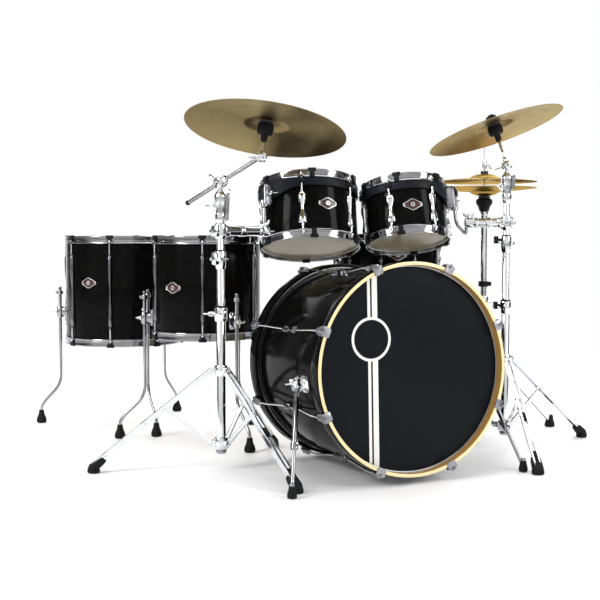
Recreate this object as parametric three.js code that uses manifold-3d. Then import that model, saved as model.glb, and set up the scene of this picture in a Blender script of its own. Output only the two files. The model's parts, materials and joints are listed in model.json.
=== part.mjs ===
// Acoustic drum kit: bass drum, two rack toms, two floor toms, snare, hi-hat and two crash
// cymbals on double-braced tripod stands. Millimetres, +Z up, front of the kit towards -Y,
// drummer towards +Y. Positions below are laid out from the floor point under the bass drum's
// front hoop; KIT_SHIFT then puts the origin under the middle of the whole kit.
import * as THREE from "three";
import { mergeVertices } from "three/addons/utils/BufferGeometryUtils.js";
import Module from "manifold-3d";

const wasm = await Module();
wasm.setup();

const KIT_SHIFT = [-63.8, -702.8, 0];
const CLEARANCE = 0.5;

const BASS = {
  radius: 279.5,
  wall: 8,
  hoopRadius: 293.5,
  hoopInner: 283.6,
  hoopDepth: 44,
  depth: 470,
  shellInset: 26,
  frontLift: 18,
  sides: 36,
  lugs: 8,
  firstLug: 22.5,
};
const SPURS = [
  { name: "left", top: [-298, 120, 272], foot: [-375, -15] },
  { name: "right", top: [298, 120, 272], foot: [356, -7] },
];
const SPUR = {
  radius: 7,
  tipRadius: 5,
  tipShare: 0.4,
  footRadius: 13,
  footTall: 30,
};
const SPUR_BRACKET = { wide: 14, deep: 42, tall: 44, y: 36, z: 128 };
const BASS_LUG = { deep: 14, wide: 20, long: 70 };
const HEAD_FILM = 2.2;
const FLESH_HOOP = 14;

const RIM = 12;
const SKIRT = 14;
const SHELL_WALL = 7;
const TOM_SIDES = 24;
const RACK_TOMS = [
  {
    name: "rack_tom_12",
    radius: 152,
    height: 214,
    centre: [-44, 580, 733],
    up: [0.08, 0.254, 0.964],
    firstLug: 237.5,
    bracketAngle: 196,
    rodEnd: [-250, 435, 687],
    rodDrop: 0,
  },
  {
    name: "rack_tom_10",
    radius: 127,
    height: 193,
    centre: [232, 451, 740],
    up: [0.054, 0.273, 0.96],
    firstLug: 219.4,
    bracketAngle: 316,
    rodEnd: [395, 353, 714],
    rodDrop: 38,
  },
];
const RACK_LUG = { width: 16, depth: 15, height: 70, z: -12 };
const RACK_LUGS = 6;
const TOM_BAND = { standOff: 1.5, thick: 5, tall: 24 };
const TOM_BRACKET = { wide: 34, deep: 36, tall: 62, standOff: 22, rodStandOff: 30, rod: 5 };
const FLOOR_TOMS = [
  {
    name: "floor_tom_14",
    radius: 178,
    top: 673,
    bottom: 340,
    at: [-283, 868],
    lugs: 6,
    firstLug: 246,
    firstLeg: 37,
    footRadius: 290,
  },
  {
    name: "floor_tom_16",
    radius: 203,
    top: 673,
    bottom: 295,
    at: [-451, 1266],
    lugs: 8,
    firstLug: 196,
    firstLeg: 34,
    footRadius: 304,
  },
];
const FLOOR_LUG = { width: 14, depth: 14, shellShare: 0.7, z: 0 };
const FLOOR_LEG = {
  standOff: 28,
  radius: 5.5,
  top: 490,
  bend: 142,
  knee: 63,
  clampHeight: 402,
  clampTall: 58,
  clampWide: 26,
};
const RUBBER_FOOT = { radius: 18, tall: 45 };
const SNARE = {
  radius: 178,
  top: 680,
  bottom: 540,
  at: [345, 765],
  lugs: 10,
  firstLug: 18,
};
const SNARE_LUG = { width: 14, depth: 14, height: 46, z: 0 };
const SNARE_STAND = {
  tubeTop: 365,
  hubTop: 500,
  firstLeg: 75,
  spread: 220,
  armReach: 196,
  armHeight: 528,
  armTop: 562,
};

const TRIPOD = {
  hubRadius: 30,
  hubHeight: 78,
  link: 168,
  shank: 258,
  lean: 51.5,
  plateGap: 12,
  plate: 5,
  plateDeep: 14,
  headShare: 0.035,
  braceWide: 8,
  braceDeep: 11,
  collarRadius: 19,
  collarHalf: 14,
};
const TUBE = {
  foot: 46,
  base: 12.7,
  bore: 10.2,
  mast: 9.5,
  top: 8,
  clamp: 17,
  clampTop: 454,
  clampBottom: 426,
};
const LEFT_STAND = {
  name: "left_stand",
  at: [-416, 386],
  firstLeg: 42,
  reducer: 612,
  mastTop: 811,
  barHeight: 687,
};
const RIGHT_STAND = {
  name: "right_stand",
  at: [500, 287],
  firstLeg: 9.5,
  reducer: 655,
  mastTop: 880,
  barHeight: 714,
};
const BAR = { tall: 25, wide: 15, past: 14, short: 12 };
const BOOM = { pivot: 825, radius: 4.8, tail: 125, hub: 10, hubHalf: 13, short: 16 };

const LEFT_CRASH = {
  name: "left_crash",
  radius: 228.5,
  bell: 62,
  rise: 32,
  rimCentre: [-318, 289, 969],
  up: [0.214, 0.165, 0.962],
  drop: 78,
};
const RIGHT_CRASH = {
  name: "right_crash",
  radius: 215,
  bell: 60,
  rise: 31,
  rimCentre: [477, 316.7, 1001.5],
  up: [-0.2, 0.2585, 0.945],
  drop: 115,
};
const CYMBAL = { wall: 1.8, hole: 6.5, post: 4, sides: 22 };

const HIHAT = {
  at: [636, 605],
  firstLeg: 349,
  spread: 258,
  cymbalRadius: 178,
  bell: 52,
  rise: 26,
  baseTop: 466,
  upperFoot: 356,
  lowerRim: 837,
  upperRim: 859,
  rodTop: 985,
  pedalAngle: 132,
  pedalWide: 80,
  toe: 52,
  heel: 300,
};

const FINISHES = {
  lacquer: [0x0c0c0e, 0.12, 0],
  hoop_wood: [0xd9b765, 0.4, 0],
  black_nickel: [0x4a4b50, 0.22, 1],
  front_film: [0x171c20, 0.35, 0],
  clear_film: [0x958d79, 0.4, 0],
  chrome: [0xd8dade, 0.1, 1],
  bronze: [0x8f7a4d, 0.3, 1],
};

const vec = (p) => new THREE.Vector3(...p);
const radians = THREE.MathUtils.degToRad;
const polar = (radius, degrees, z) => [
  radius * Math.cos(radians(degrees)),
  radius * Math.sin(radians(degrees)),
  z,
];
const count = (n) => [...Array(n).keys()];

function solidOf(geometry) {
  const bare = geometry.clone();
  bare.deleteAttribute("normal");
  bare.deleteAttribute("uv");
  const merged = mergeVertices(bare, 1e-3);
  return new wasm.Manifold(
    new wasm.Mesh({
      numProp: 3,
      vertProperties: merged.attributes.position.array,
      triVerts: new Uint32Array(merged.index.array),
    }),
  );
}

function geometryOf(solid) {
  const { vertProperties, triVerts } = solid.getMesh();
  const geometry = new THREE.BufferGeometry();
  geometry.setAttribute("position", new THREE.BufferAttribute(vertProperties, 3));
  geometry.setIndex(new THREE.BufferAttribute(triVerts, 1));
  const faceted = geometry.toNonIndexed();
  faceted.computeVertexNormals();
  return faceted;
}

const join = (...shapes) => geometryOf(shapes.map(solidOf).reduce((a, b) => a.add(b)));
const cut = (shape, ...tools) =>
  geometryOf(tools.map(solidOf).reduce((a, b) => a.subtract(b), solidOf(shape)));

// A shape turned about +Z from (radius, height) points that start and end on the axis.
function turned(profile, sides, closes = false) {
  const points = profile.map(([r, z]) => new THREE.Vector2(r, z));
  if (THREE.ShapeUtils.area(points) < 0) points.reverse();
  if (closes) points.push(points[0]);
  return new THREE.LatheGeometry(points, sides).rotateX(Math.PI / 2);
}

// A turned ring: its outline stays off the axis and closes on itself.
const turnedRing = (outline, sides) => turned(outline, sides, true);
const ring = (inner, outer, z0, z1, sides) =>
  turnedRing([[inner, z0], [outer, z0], [outer, z1], [inner, z1]], sides);

const box = (w, d, h, [x, y, z]) => new THREE.BoxGeometry(w, d, h).translate(x, y, z);
const ball = (radius, at) => new THREE.SphereGeometry(radius, 6, 4).translate(...at);
const partWay = (a, b, share) => vec(a).lerp(vec(b), share).toArray();

function bar(from, to, radius, sides = 10) {
  const a = vec(from);
  const b = vec(to);
  const along = b.clone().sub(a);
  return new THREE.CylinderGeometry(radius, radius, along.length(), sides)
    .applyQuaternion(new THREE.Quaternion().setFromUnitVectors(vec([0, 1, 0]), along.normalize()))
    .translate(...a.add(b).multiplyScalar(0.5));
}

// A bent rod through the given corners.
const rod = (corners, radius) =>
  join(
    ...corners.slice(1).map((p, i) => bar(corners[i], p, radius, 6)),
    ...corners.slice(1, -1).map((p) => ball(radius * 1.04, p)),
  );

// A block from one point to another: wide across `side`, deep across the other way.
function beam(from, to, wide, deep, side, overrun = 0) {
  const along = vec(to).sub(vec(from));
  const length = along.length();
  const z = along.normalize();
  const x = vec(side).normalize();
  const y = z.clone().cross(x);
  const middle = vec(from).add(vec(to)).multiplyScalar(0.5);
  return new THREE.BoxGeometry(wide, deep, length + 2 * overrun)
    .applyMatrix4(new THREE.Matrix4().makeBasis(x, y, z).setPosition(middle));
}

// A turned pin along the line between two points, from (radius, distance) points.
function pin(from, to, profile, sides) {
  const along = vec(to).sub(vec(from)).normalize();
  const turn = new THREE.Quaternion().setFromUnitVectors(vec([0, 0, 1]), along);
  return turned(profile, sides).applyQuaternion(turn).translate(...from);
}

const rubberFoot = ([x, y]) =>
  turned(
    [
      [0, 0],
      [RUBBER_FOOT.radius * 0.8, 0],
      [RUBBER_FOOT.radius, 12],
      [RUBBER_FOOT.radius * 0.55, RUBBER_FOOT.tall],
      [0, RUBBER_FOOT.tall],
    ],
    8,
  ).translate(x, y, 0);

const kit = new THREE.Group();
kit.position.set(...KIT_SHIFT);

function piece(name, geometry, finish, parent = kit) {
  const [color, roughness, metalness] = FINISHES[finish];
  const material = new THREE.MeshStandardMaterial({ color, roughness, metalness });
  const mesh = new THREE.Mesh(geometry, material);
  mesh.name = name;
  parent.add(mesh);
}

function frameAt(position, up, parent = kit) {
  const group = new THREE.Group();
  group.position.set(...position);
  group.quaternion.setFromUnitVectors(vec([0, 0, 1]), vec(up).normalize());
  parent.add(group);
  group.updateMatrix();
  return group;
}

const into = (group, point) =>
  vec(point).applyMatrix4(group.matrix.clone().invert()).toArray();

// Bass drum: its own +Z runs from the front hoop back to the batter hoop.
function bassDrum() {
  const b = BASS;
  const tilt = Math.asin(b.frontLift / b.depth);
  const group = new THREE.Group();
  group.position.set(0, 0, b.depth * Math.sin(tilt) + b.hoopRadius * Math.cos(tilt));
  group.rotation.x = -Math.PI / 2 - tilt;
  kit.add(group);

  const [z0, z1] = [b.shellInset, b.depth - b.shellInset];
  const lug = box(BASS_LUG.deep, BASS_LUG.wide, BASS_LUG.long, [b.radius + 5, 0, b.depth / 2]);
  const lugs = count(b.lugs).map((i) =>
    lug.clone().rotateZ(radians(b.firstLug + (i * 360) / b.lugs)),
  );
  const mount = SPUR_BRACKET;
  const brackets = [-1, 1].map((side) =>
    box(mount.wide, mount.deep, mount.tall, [side * (b.radius - 2.5), mount.y, mount.z]),
  );
  const tube = ring(b.radius - b.wall, b.radius, z0, z1, b.sides);
  piece("bass_shell", join(tube, ...lugs, ...brackets), "lacquer", group);

  const hoop = (from) => ring(b.hoopInner, b.hoopRadius, from, from + b.hoopDepth, b.sides);
  const fleshOuter = b.hoopInner - CLEARANCE;
  const fleshInner = b.radius + CLEARANCE;
  const head = (end, out) => {
    const face = end + out * HEAD_FILM;
    const under = end + out * CLEARANCE;
    const edge = end - out * FLESH_HOOP;
    return turned(
      [
        [0, face],
        [fleshOuter, face],
        [fleshOuter, edge],
        [fleshInner, edge],
        [fleshInner, under],
        [0, under],
      ],
      b.sides,
    );
  };
  piece("bass_front_hoop", hoop(0), "hoop_wood", group);
  piece("bass_front_head", head(z0, -1), "front_film", group);
  piece("bass_rear_hoop", hoop(b.depth - b.hoopDepth), "lacquer", group);
  piece("bass_rear_head", head(z1, 1), "clear_film", group);

  SPURS.forEach(({ name, top, foot: [footX, footY] }) => {
    const foot = [footX, footY, SPUR.footTall / 2];
    const long = vec(top).distanceTo(vec(foot));
    const step = long * (1 - SPUR.tipShare);
    const leg = pin(
      top,
      foot,
      [
        [0, 0],
        [SPUR.radius, 0],
        [SPUR.radius, step],
        [SPUR.tipRadius, step + 2],
        [SPUR.tipRadius, long],
        [0, long],
      ],
      10,
    );
    const tip = turned(
      [
        [0, 0],
        [SPUR.footRadius * 0.8, 0],
        [SPUR.footRadius, 9],
        [7.5, SPUR.footTall],
        [0, SPUR.footTall],
      ],
      12,
    ).translate(footX, footY, 0);
    piece("bass_spur_" + name, join(leg, tip), "chrome");
  });
}

// Hoop and head of one drum end, above a shell that ends at height `edge`.
const drumEnd = (radius, edge) =>
  turned(
    [
      [0, edge + CLEARANCE],
      [radius + 0.8, edge + CLEARANCE],
      [radius + 0.8, edge - SKIRT],
      [radius + 8, edge - SKIRT],
      [radius + 8, edge + RIM],
      [radius + 5, edge + RIM],
      [radius + 5, edge + HEAD_FILM],
      [0, edge + HEAD_FILM],
    ],
    TOM_SIDES,
  );

const lugRing = (n, first, radius, { width, depth, height, z }) =>
  count(n).map((i) =>
    box(depth, width, height, [radius + depth / 2 - 2, 0, z]).rotateZ(radians(first + (i * 360) / n)),
  );

function rackTom(t) {
  const group = frameAt(t.centre, t.up);
  const edge = t.height / 2 - RIM;
  const shell = ring(t.radius - SHELL_WALL, t.radius, -edge, edge, TOM_SIDES);
  piece(
    t.name + "_shell",
    join(shell, ...lugRing(RACK_LUGS, t.firstLug, t.radius, RACK_LUG)),
    "lacquer",
    group,
  );
  piece(t.name + "_top", drumEnd(t.radius, edge), "black_nickel", group);
  piece(t.name + "_bottom", drumEnd(t.radius, edge).rotateX(Math.PI), "black_nickel", group);

  const mount = TOM_BRACKET;
  const bandTop = edge - SKIRT - 2;
  const bandInner = t.radius + TOM_BAND.standOff;
  const band = ring(
    bandInner,
    bandInner + TOM_BAND.thick,
    bandTop - TOM_BAND.tall,
    bandTop,
    TOM_SIDES,
  );
  const bracket = box(mount.wide, mount.deep, mount.tall, [
    t.radius + mount.standOff,
    0,
    bandTop - 40,
  ]).rotateZ(radians(t.bracketAngle));
  const reach = t.radius + mount.rodStandOff;
  const upright = [
    polar(reach, t.bracketAngle, bandTop - 4),
    polar(reach, t.bracketAngle, -edge + 30),
  ];
  const [endX, endY, endZ] = t.rodEnd;
  const tail = t.rodDrop
    ? [[endX, endY, endZ - t.rodDrop], [endX, endY, endZ - 15]]
    : [t.rodEnd];
  const corners = [...upright, ...tail.map((p) => into(group, p))];
  piece(t.name + "_mount", join(band, bracket, rod(corners, mount.rod)), "black_nickel", group);
}

function floorTom(t) {
  const group = frameAt([...t.at, (t.top + t.bottom) / 2], [0, 0, 1]);
  const edge = (t.top - t.bottom) / 2 - RIM;
  const leg = FLOOR_LEG;
  const legRadius = t.radius + leg.standOff;
  const clampZ = leg.clampHeight - (t.top + t.bottom) / 2;
  const legAngles = count(3).map((i) => t.firstLeg + 120 * i);
  const lug = { ...FLOOR_LUG, height: 2 * edge * FLOOR_LUG.shellShare };
  const clamp = box(leg.standOff + 12, leg.clampWide, leg.clampTall, [
    t.radius + leg.standOff / 2 + 4,
    0,
    clampZ,
  ]);
  const clamps = legAngles.map((a) => clamp.clone().rotateZ(radians(a)));
  const bores = legAngles.map((a) =>
    bar(
      polar(legRadius, a, clampZ - leg.clampTall),
      polar(legRadius, a, clampZ + leg.clampTall),
      leg.radius + CLEARANCE,
      8,
    ),
  );
  const shell = ring(t.radius - SHELL_WALL, t.radius, -edge, edge, TOM_SIDES);
  piece(
    t.name + "_shell",
    cut(join(shell, ...lugRing(t.lugs, t.firstLug, t.radius, lug), ...clamps), ...bores),
    "lacquer",
    group,
  );
  piece(t.name + "_top", drumEnd(t.radius, edge), "black_nickel", group);
  piece(t.name + "_bottom", drumEnd(t.radius, edge).rotateX(Math.PI), "black_nickel", group);

  legAngles.forEach((a, i) => {
    const at = (r, z) => {
      const [x, y] = polar(r, a, 0);
      return [t.at[0] + x, t.at[1] + y, z];
    };
    const foot = at(t.footRadius, 0);
    const corners = [
      at(legRadius, leg.top),
      at(legRadius, leg.bend),
      at(t.footRadius, leg.knee),
      at(t.footRadius, RUBBER_FOOT.tall / 2),
    ];
    const line = rod(corners, leg.radius);
    piece(t.name + "_leg_" + (i + 1), join(line, rubberFoot(foot)), "black_nickel");
  });
}

function snare() {
  const s = SNARE;
  const stand = SNARE_STAND;
  const group = frameAt([...s.at, (s.top + s.bottom) / 2], [0, 0, 1]);
  const edge = (s.top - s.bottom) / 2 - RIM;
  const shell = ring(s.radius - SHELL_WALL, s.radius, -edge - 4, edge, TOM_SIDES);
  const bottom = drumEnd(s.radius, edge).rotateX(Math.PI);
  piece(
    "snare_shell",
    join(shell, bottom, ...lugRing(s.lugs, s.firstLug, s.radius, SNARE_LUG)),
    "lacquer",
    group,
  );
  piece("snare_top", drumEnd(s.radius, edge), "black_nickel", group);

  const base = frameAt([...s.at, 0], [0, 0, 1]);
  const legs = count(3).map((i) => {
    const a = stand.firstLeg + 120 * i;
    const side = polar(1, a + 90, 0);
    return join(
      beam(polar(10, a, 215), polar(stand.spread, a, 24), 14, 9, side),
      beam(polar(10, a, 72), polar(stand.spread * 0.48, a, 122), 8, 8, side),
      rubberFoot(polar(stand.spread, a, 0)).scale(1, 1, 0.8),
    );
  });
  const tube = turned(
    [
      [0, 60],
      [20, 60],
      [20, 84],
      [13, 84],
      [13, stand.tubeTop - 25],
      [17, stand.tubeTop - 25],
      [17, stand.tubeTop],
      [9.6, stand.tubeTop],
      [9.6, 100],
      [0, 100],
    ],
    12,
  );
  piece("snare_stand", join(tube, ...legs), "chrome", base);

  const arms = count(3).map((i) => {
    const a = stand.firstLeg + 60 + 120 * i;
    const side = polar(1, a + 90, 0);
    return join(
      beam(polar(17, a, 489), polar(stand.armReach, a, stand.armHeight - 6), 12, 8, side),
      beam(
        polar(stand.armReach, a, stand.armHeight - 10),
        polar(stand.armReach + 2, a, stand.armTop),
        10,
        9,
        side,
      ),
    );
  });
  const hub = turned(
    [
      [0, 250],
      [9, 250],
      [9, stand.hubTop - 30],
      [24, stand.hubTop - 30],
      [24, stand.hubTop],
      [0, stand.hubTop],
    ],
    12,
  );
  piece("snare_basket", join(hub, ...arms), "chrome", base);
}

// Tripod with folding legs: collar on the tube, hub at its foot, legs and braces between them.
function tripod(stand) {
  const t = TRIPOD;
  const lean = radians(t.lean);
  const collarZ = t.hubHeight + 2 * t.link * Math.cos(lean);
  const group = frameAt([...stand.at, 0], [0, 0, 1]);
  const base = turned(
    [
      [0, TUBE.foot],
      [TUBE.base, TUBE.foot],
      [21, t.hubHeight - 18],
      [21, t.hubHeight + 16],
      [TUBE.base, t.hubHeight + 16],
      [TUBE.base, TUBE.clampBottom],
      [TUBE.clamp, TUBE.clampBottom],
      [TUBE.clamp, TUBE.clampTop],
      [TUBE.bore, TUBE.clampTop],
      [TUBE.bore, 110],
      [0, 110],
    ],
    16,
  );
  piece(stand.name + "_base", base, "chrome", group);
  const collar = ring(
    TUBE.base + CLEARANCE,
    t.collarRadius,
    collarZ - t.collarHalf,
    collarZ + t.collarHalf,
    16,
  );
  piece(stand.name + "_collar", collar, "chrome", group);
  count(3).forEach((i) => {
    const a = stand.firstLeg + 120 * i;
    const side = polar(1, a + 90, 0);
    const hub = polar(t.hubRadius, a, t.hubHeight);
    const top = polar(t.hubRadius, a, collarZ);
    const pivot = polar(
      t.hubRadius + t.link * Math.sin(lean),
      a,
      t.hubHeight + t.link * Math.cos(lean),
    );
    const tipRadius = t.hubRadius + (t.link + t.shank) * Math.sin(lean);
    const tip = polar(tipRadius, a, collarZ - (t.link + t.shank) * Math.cos(lean));
    const plates = [-1, 1].map((s) => {
      const offset = vec(side).multiplyScalar((s * (t.plateGap + t.plate)) / 2);
      const shift = (p) => vec(p).add(offset).toArray();
      return beam(shift(top), shift(tip), t.plate, t.plateDeep, side);
    });
    const headEnd = partWay(top, tip, t.headShare);
    const head = beam(top, headEnd, t.plateGap + 2 * t.plate, t.plateDeep, side);
    piece(
      `${stand.name}_leg_${i + 1}`,
      join(...plates, head, rubberFoot(tip)),
      "chrome",
      group,
    );
    const brace = beam(hub, pivot, t.braceWide, t.braceDeep, side, 4);
    piece(`${stand.name}_brace_${i + 1}`, brace, "chrome", group);
  });
}

// Telescoping mast above a tripod, with the clamp bar that carries a rack tom.
function mast(stand, rodEnd) {
  const [x, y] = stand.at;
  const tube = turned(
    [
      [0, 250],
      [TUBE.mast, 250],
      [TUBE.mast, stand.reducer - 16],
      [13, stand.reducer - 16],
      [13, stand.reducer + 16],
      [TUBE.top, stand.reducer + 16],
      [TUBE.top, stand.mastTop - 46],
      [12, stand.mastTop - 40],
      [12, stand.mastTop - 9],
      [8, stand.mastTop],
      [0, stand.mastTop],
    ],
    12,
  );
  const reach = vec([rodEnd[0] - x, rodEnd[1] - y, 0]);
  const far = reach.clone().setLength(reach.length() - BAR.short);
  const near = reach.clone().setLength(-BAR.past);
  const lift = (v) => [v.x, v.y, stand.barHeight];
  const side = [-reach.y, reach.x, 0];
  const arm = beam(lift(near), lift(far), BAR.wide, BAR.tall, side);
  const group = frameAt([x, y, 0], [0, 0, 1]);
  piece(stand.name + "_mast", join(tube, arm), "chrome", group);
}

// Cymbal with its own +Z out of the bell; `z` is the rim's height and `rise` the bell's top.
function cymbalShape(radius, bell, rise) {
  const w = CYMBAL.wall;
  const bow = rise * 0.45;
  const top = [
    [radius, w * 0.4],
    [radius * 0.7, bow * 0.52],
    [bell, bow],
    [bell * 0.66, rise * 0.86],
    [CYMBAL.hole, rise],
  ];
  const under = [
    [CYMBAL.hole, rise - w],
    [bell * 0.64, rise * 0.86 - w],
    [bell - 1, bow - w],
    [radius * 0.7, bow * 0.52 - w],
    [radius, -w * 0.4],
  ];
  return turnedRing([...top, ...under], CYMBAL.sides);
}

// Tilter block, post, sleeve and felts under and over a cymbal.
function tilterShape(drop, rise) {
  const seat = rise - CYMBAL.wall - 1.5;
  return join(
    turned(
      [
        [0, -drop],
        [CYMBAL.post, -drop],
        [CYMBAL.post, seat - 34],
        [9, seat - 34],
        [9, seat],
        [CYMBAL.post, seat],
        [CYMBAL.post, rise + 1.5],
        [9, rise + 1.5],
        [10, rise + 20],
        [5, rise + 26],
        [0, rise + 26],
      ],
      12,
    ),
    bar([0, -11, -drop], [0, 11, -drop], 9, 12),
  );
}

function crash(c) {
  const group = frameAt(c.rimCentre, c.up);
  piece(c.name + "_cymbal", cymbalShape(c.radius, c.bell, c.rise), "bronze", group);
  piece(c.name + "_tilter", tilterShape(c.drop, c.rise), "chrome", group);
}

function boom() {
  const [x, y] = LEFT_STAND.at;
  const pivot = vec([x, y, BOOM.pivot]);
  const c = LEFT_CRASH;
  const end = vec(c.rimCentre).sub(vec(c.up).normalize().multiplyScalar(c.drop));
  const along = end.clone().sub(pivot).normalize();
  const side = along.clone().cross(vec([0, 0, 1])).normalize();
  const at = (p, v, d) => p.clone().addScaledVector(v, d).toArray();
  const shape = join(
    bar(at(pivot, along, -BOOM.tail), at(end, along, -BOOM.short), BOOM.radius, 10),
    bar(at(pivot, side, -BOOM.hubHalf), at(pivot, side, BOOM.hubHalf), BOOM.hub, 12),
  );
  piece("left_boom", shape, "chrome");
}

function hihat() {
  const h = HIHAT;
  const group = frameAt([...h.at, 0], [0, 0, 1]);
  const legs = count(3).map((i) => {
    const a = h.firstLeg + 120 * i;
    const side = polar(1, a + 90, 0);
    return join(
      beam(polar(10, a, 282), polar(h.spread, a, 24), 18, 10, side),
      beam(polar(10, a, 84), polar(h.spread * 0.48, a, 160), 8, 9, side),
      rubberFoot(polar(h.spread, a, 0)),
    );
  });
  const heading = h.pedalAngle;
  const side = polar(1, heading + 90, 0);
  const rail = beam(polar(8, heading, 56), polar(h.heel + 20, heading, 8), 20, 6, side);
  const plateFrom = polar(h.heel - 2, heading, 6);
  const heel = beam(plateFrom, polar(h.heel + 60, heading, 6), h.pedalWide, 12, side);
  const tube = turned(
    [
      [0, 46],
      [TUBE.base, 46],
      [19, 66],
      [19, 96],
      [TUBE.base, 96],
      [TUBE.base, h.baseTop - 30],
      [TUBE.clamp, h.baseTop - 30],
      [TUBE.clamp, h.baseTop],
      [TUBE.bore, h.baseTop],
      [TUBE.bore, 320],
      [0, 320],
    ],
    16,
  );
  piece("hihat_base", join(tube, ...legs, rail, heel), "chrome", group);

  const rim = h.lowerRim;
  const seat = rim - h.rise - 1;
  const upper = turnedRing(
    [
      [5, h.upperFoot],
      [TUBE.mast, h.upperFoot],
      [TUBE.mast, seat - 52],
      [14, seat - 52],
      [25, seat - 22],
      [20, seat],
      [5, seat],
    ],
    14,
  );
  piece("hihat_upper_tube", upper, "chrome", group);
  const plate = cymbalShape(h.cymbalRadius, h.bell, h.rise);
  const lower = plate.clone().rotateX(Math.PI).translate(0, 0, rim);
  piece("hihat_lower_cymbal", lower, "bronze", group);
  piece("hihat_upper_cymbal", plate.translate(0, 0, h.upperRim), "bronze", group);
  const bellTop = h.upperRim + h.rise;
  const rodShape = turned(
    [
      [0, 480],
      [3.2, 480],
      [3.2, bellTop - CYMBAL.wall - 8],
      [9, bellTop - CYMBAL.wall - 8],
      [9, bellTop - CYMBAL.wall - CLEARANCE],
      [3.8, bellTop - CYMBAL.wall - CLEARANCE],
      [3.8, bellTop + CLEARANCE],
      [12, bellTop + CLEARANCE],
      [12, bellTop + 12],
      [7, bellTop + 14],
      [7, bellTop + 48],
      [3.2, bellTop + 48],
      [3.2, h.rodTop],
      [0, h.rodTop],
    ],
    12,
  );
  piece("hihat_rod", rodShape, "chrome", group);
  const toe = polar(h.toe, heading, 100);
  const pedal = beam(toe, polar(h.heel - 8, heading, 22), h.pedalWide, 8, side);
  piece("hihat_pedal", pedal, "chrome", group);
}

bassDrum();
RACK_TOMS.forEach(rackTom);
FLOOR_TOMS.forEach(floorTom);
snare();
[LEFT_STAND, RIGHT_STAND].forEach((stand, i) => {
  tripod(stand);
  mast(stand, RACK_TOMS[i].rodEnd);
});
boom();
[LEFT_CRASH, RIGHT_CRASH].forEach(crash);
hihat();

export default kit;
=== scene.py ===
"""Acoustic drum kit: bass drum, toms, snare, hi-hat and crash cymbals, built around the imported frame."""

import json
import math

import bmesh
import bpy
import numpy as np
from mathutils import Matrix, Vector


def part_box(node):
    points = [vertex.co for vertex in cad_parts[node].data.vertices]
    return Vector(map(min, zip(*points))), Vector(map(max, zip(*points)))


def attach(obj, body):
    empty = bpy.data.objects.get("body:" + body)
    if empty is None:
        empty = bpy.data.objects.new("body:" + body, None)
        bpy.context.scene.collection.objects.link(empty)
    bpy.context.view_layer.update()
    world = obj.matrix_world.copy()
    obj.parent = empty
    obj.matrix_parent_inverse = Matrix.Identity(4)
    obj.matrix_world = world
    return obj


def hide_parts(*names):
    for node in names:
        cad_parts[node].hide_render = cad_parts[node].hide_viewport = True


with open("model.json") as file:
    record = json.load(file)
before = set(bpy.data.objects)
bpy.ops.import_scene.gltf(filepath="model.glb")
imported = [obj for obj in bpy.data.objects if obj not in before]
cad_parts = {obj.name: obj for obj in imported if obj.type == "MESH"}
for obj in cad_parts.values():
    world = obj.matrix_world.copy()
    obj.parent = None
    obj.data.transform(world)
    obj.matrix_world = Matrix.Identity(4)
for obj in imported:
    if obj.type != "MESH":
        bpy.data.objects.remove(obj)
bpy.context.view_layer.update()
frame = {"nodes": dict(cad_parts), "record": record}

MM = 0.001
UP = Vector((0, 0, 1))
OUTWARD = Matrix.Rotation(math.pi / 2, 4, "Y")  # turns +Z to +X
INWARD = Matrix.Rotation(-math.pi / 2, 4, "Y")
SIDEWAYS = Matrix.Rotation(-math.pi / 2, 4, "X")  # turns +Z to +Y
OVER = Matrix.Rotation(math.pi, 4, "X")
DRUM_SIDES = 96
WIDE_SIDES = 160
BEAM = Vector((0, 1, 0))  # across the plates of a stand leg

CAMERA = {"at": (-1.5788, -3.2108, 0.673), "heading": 25.0, "pitch": -3.39, "lens": 64.8}
ROOM = [(0.0, 0.5), (0.30, 0.12), (0.66, 0.12), (0.80, 0.8), (1.0, 0.9)]
WHITE = (1.0, 1.0, 1.0, 1.0)

# ---------------------------------------------------------------- reading the frame


def points_of(node):
    mesh = frame["nodes"][node].data
    flat = np.empty(len(mesh.vertices) * 3)
    mesh.vertices.foreach_get("co", flat)
    return np.unique(flat.reshape(-1, 3).round(5), axis=0)


def middle_of(node):
    low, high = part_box(node)
    return (Vector(low) + Vector(high)) / 2


def between(low_node, high_node):
    """Matrix halfway between two round pieces, +Z from the first to the second."""
    low = Vector(points_of(low_node).mean(axis=0))
    high = Vector(points_of(high_node).mean(axis=0))
    turn = UP.rotation_difference(high - low)
    return Matrix.Translation(low.lerp(high, 0.5)) @ turn.to_matrix().to_4x4()


def standing_at(node, z=0.0):
    """Upright matrix at a node's middle in plan."""
    at = middle_of(node)
    return Matrix.Translation((at.x, at.y, z))


def in_mm(matrix, point):
    return (matrix.inverted() @ Vector(point)) / MM


def frame_on(origin, axis, ahead=None):
    """Matrix whose +Z is the axis and whose +X leans towards `ahead`."""
    z = Vector(axis).normalized()
    x = Vector(ahead if ahead is not None else (1, 0, 0))
    x = (x - z * x.dot(z)).normalized()
    y = z.cross(x)
    turn = Matrix((x, y, z)).transposed().to_4x4()
    return Matrix.Translation(Vector(origin)) @ turn


def joint_named(name):
    return next(j for j in frame["record"]["behaviour"]["joints"] if j["name"] == name)


def at_angle(degrees, radius=0.0, z=0.0):
    a = math.radians(degrees)
    return Vector((radius * math.cos(a), radius * math.sin(a), z))


def spin(degrees):
    return Matrix.Rotation(math.radians(degrees), 4, "Z")


def around(count, first=0):
    """Turns that share a full circle evenly, from the first angle on."""
    return [spin(first + i * 360 / count) for i in range(count)]


def shift(x=0.0, y=0.0, z=0.0):
    return Matrix.Translation((x, y, z))


# ---------------------------------------------------------------- shapes


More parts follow.
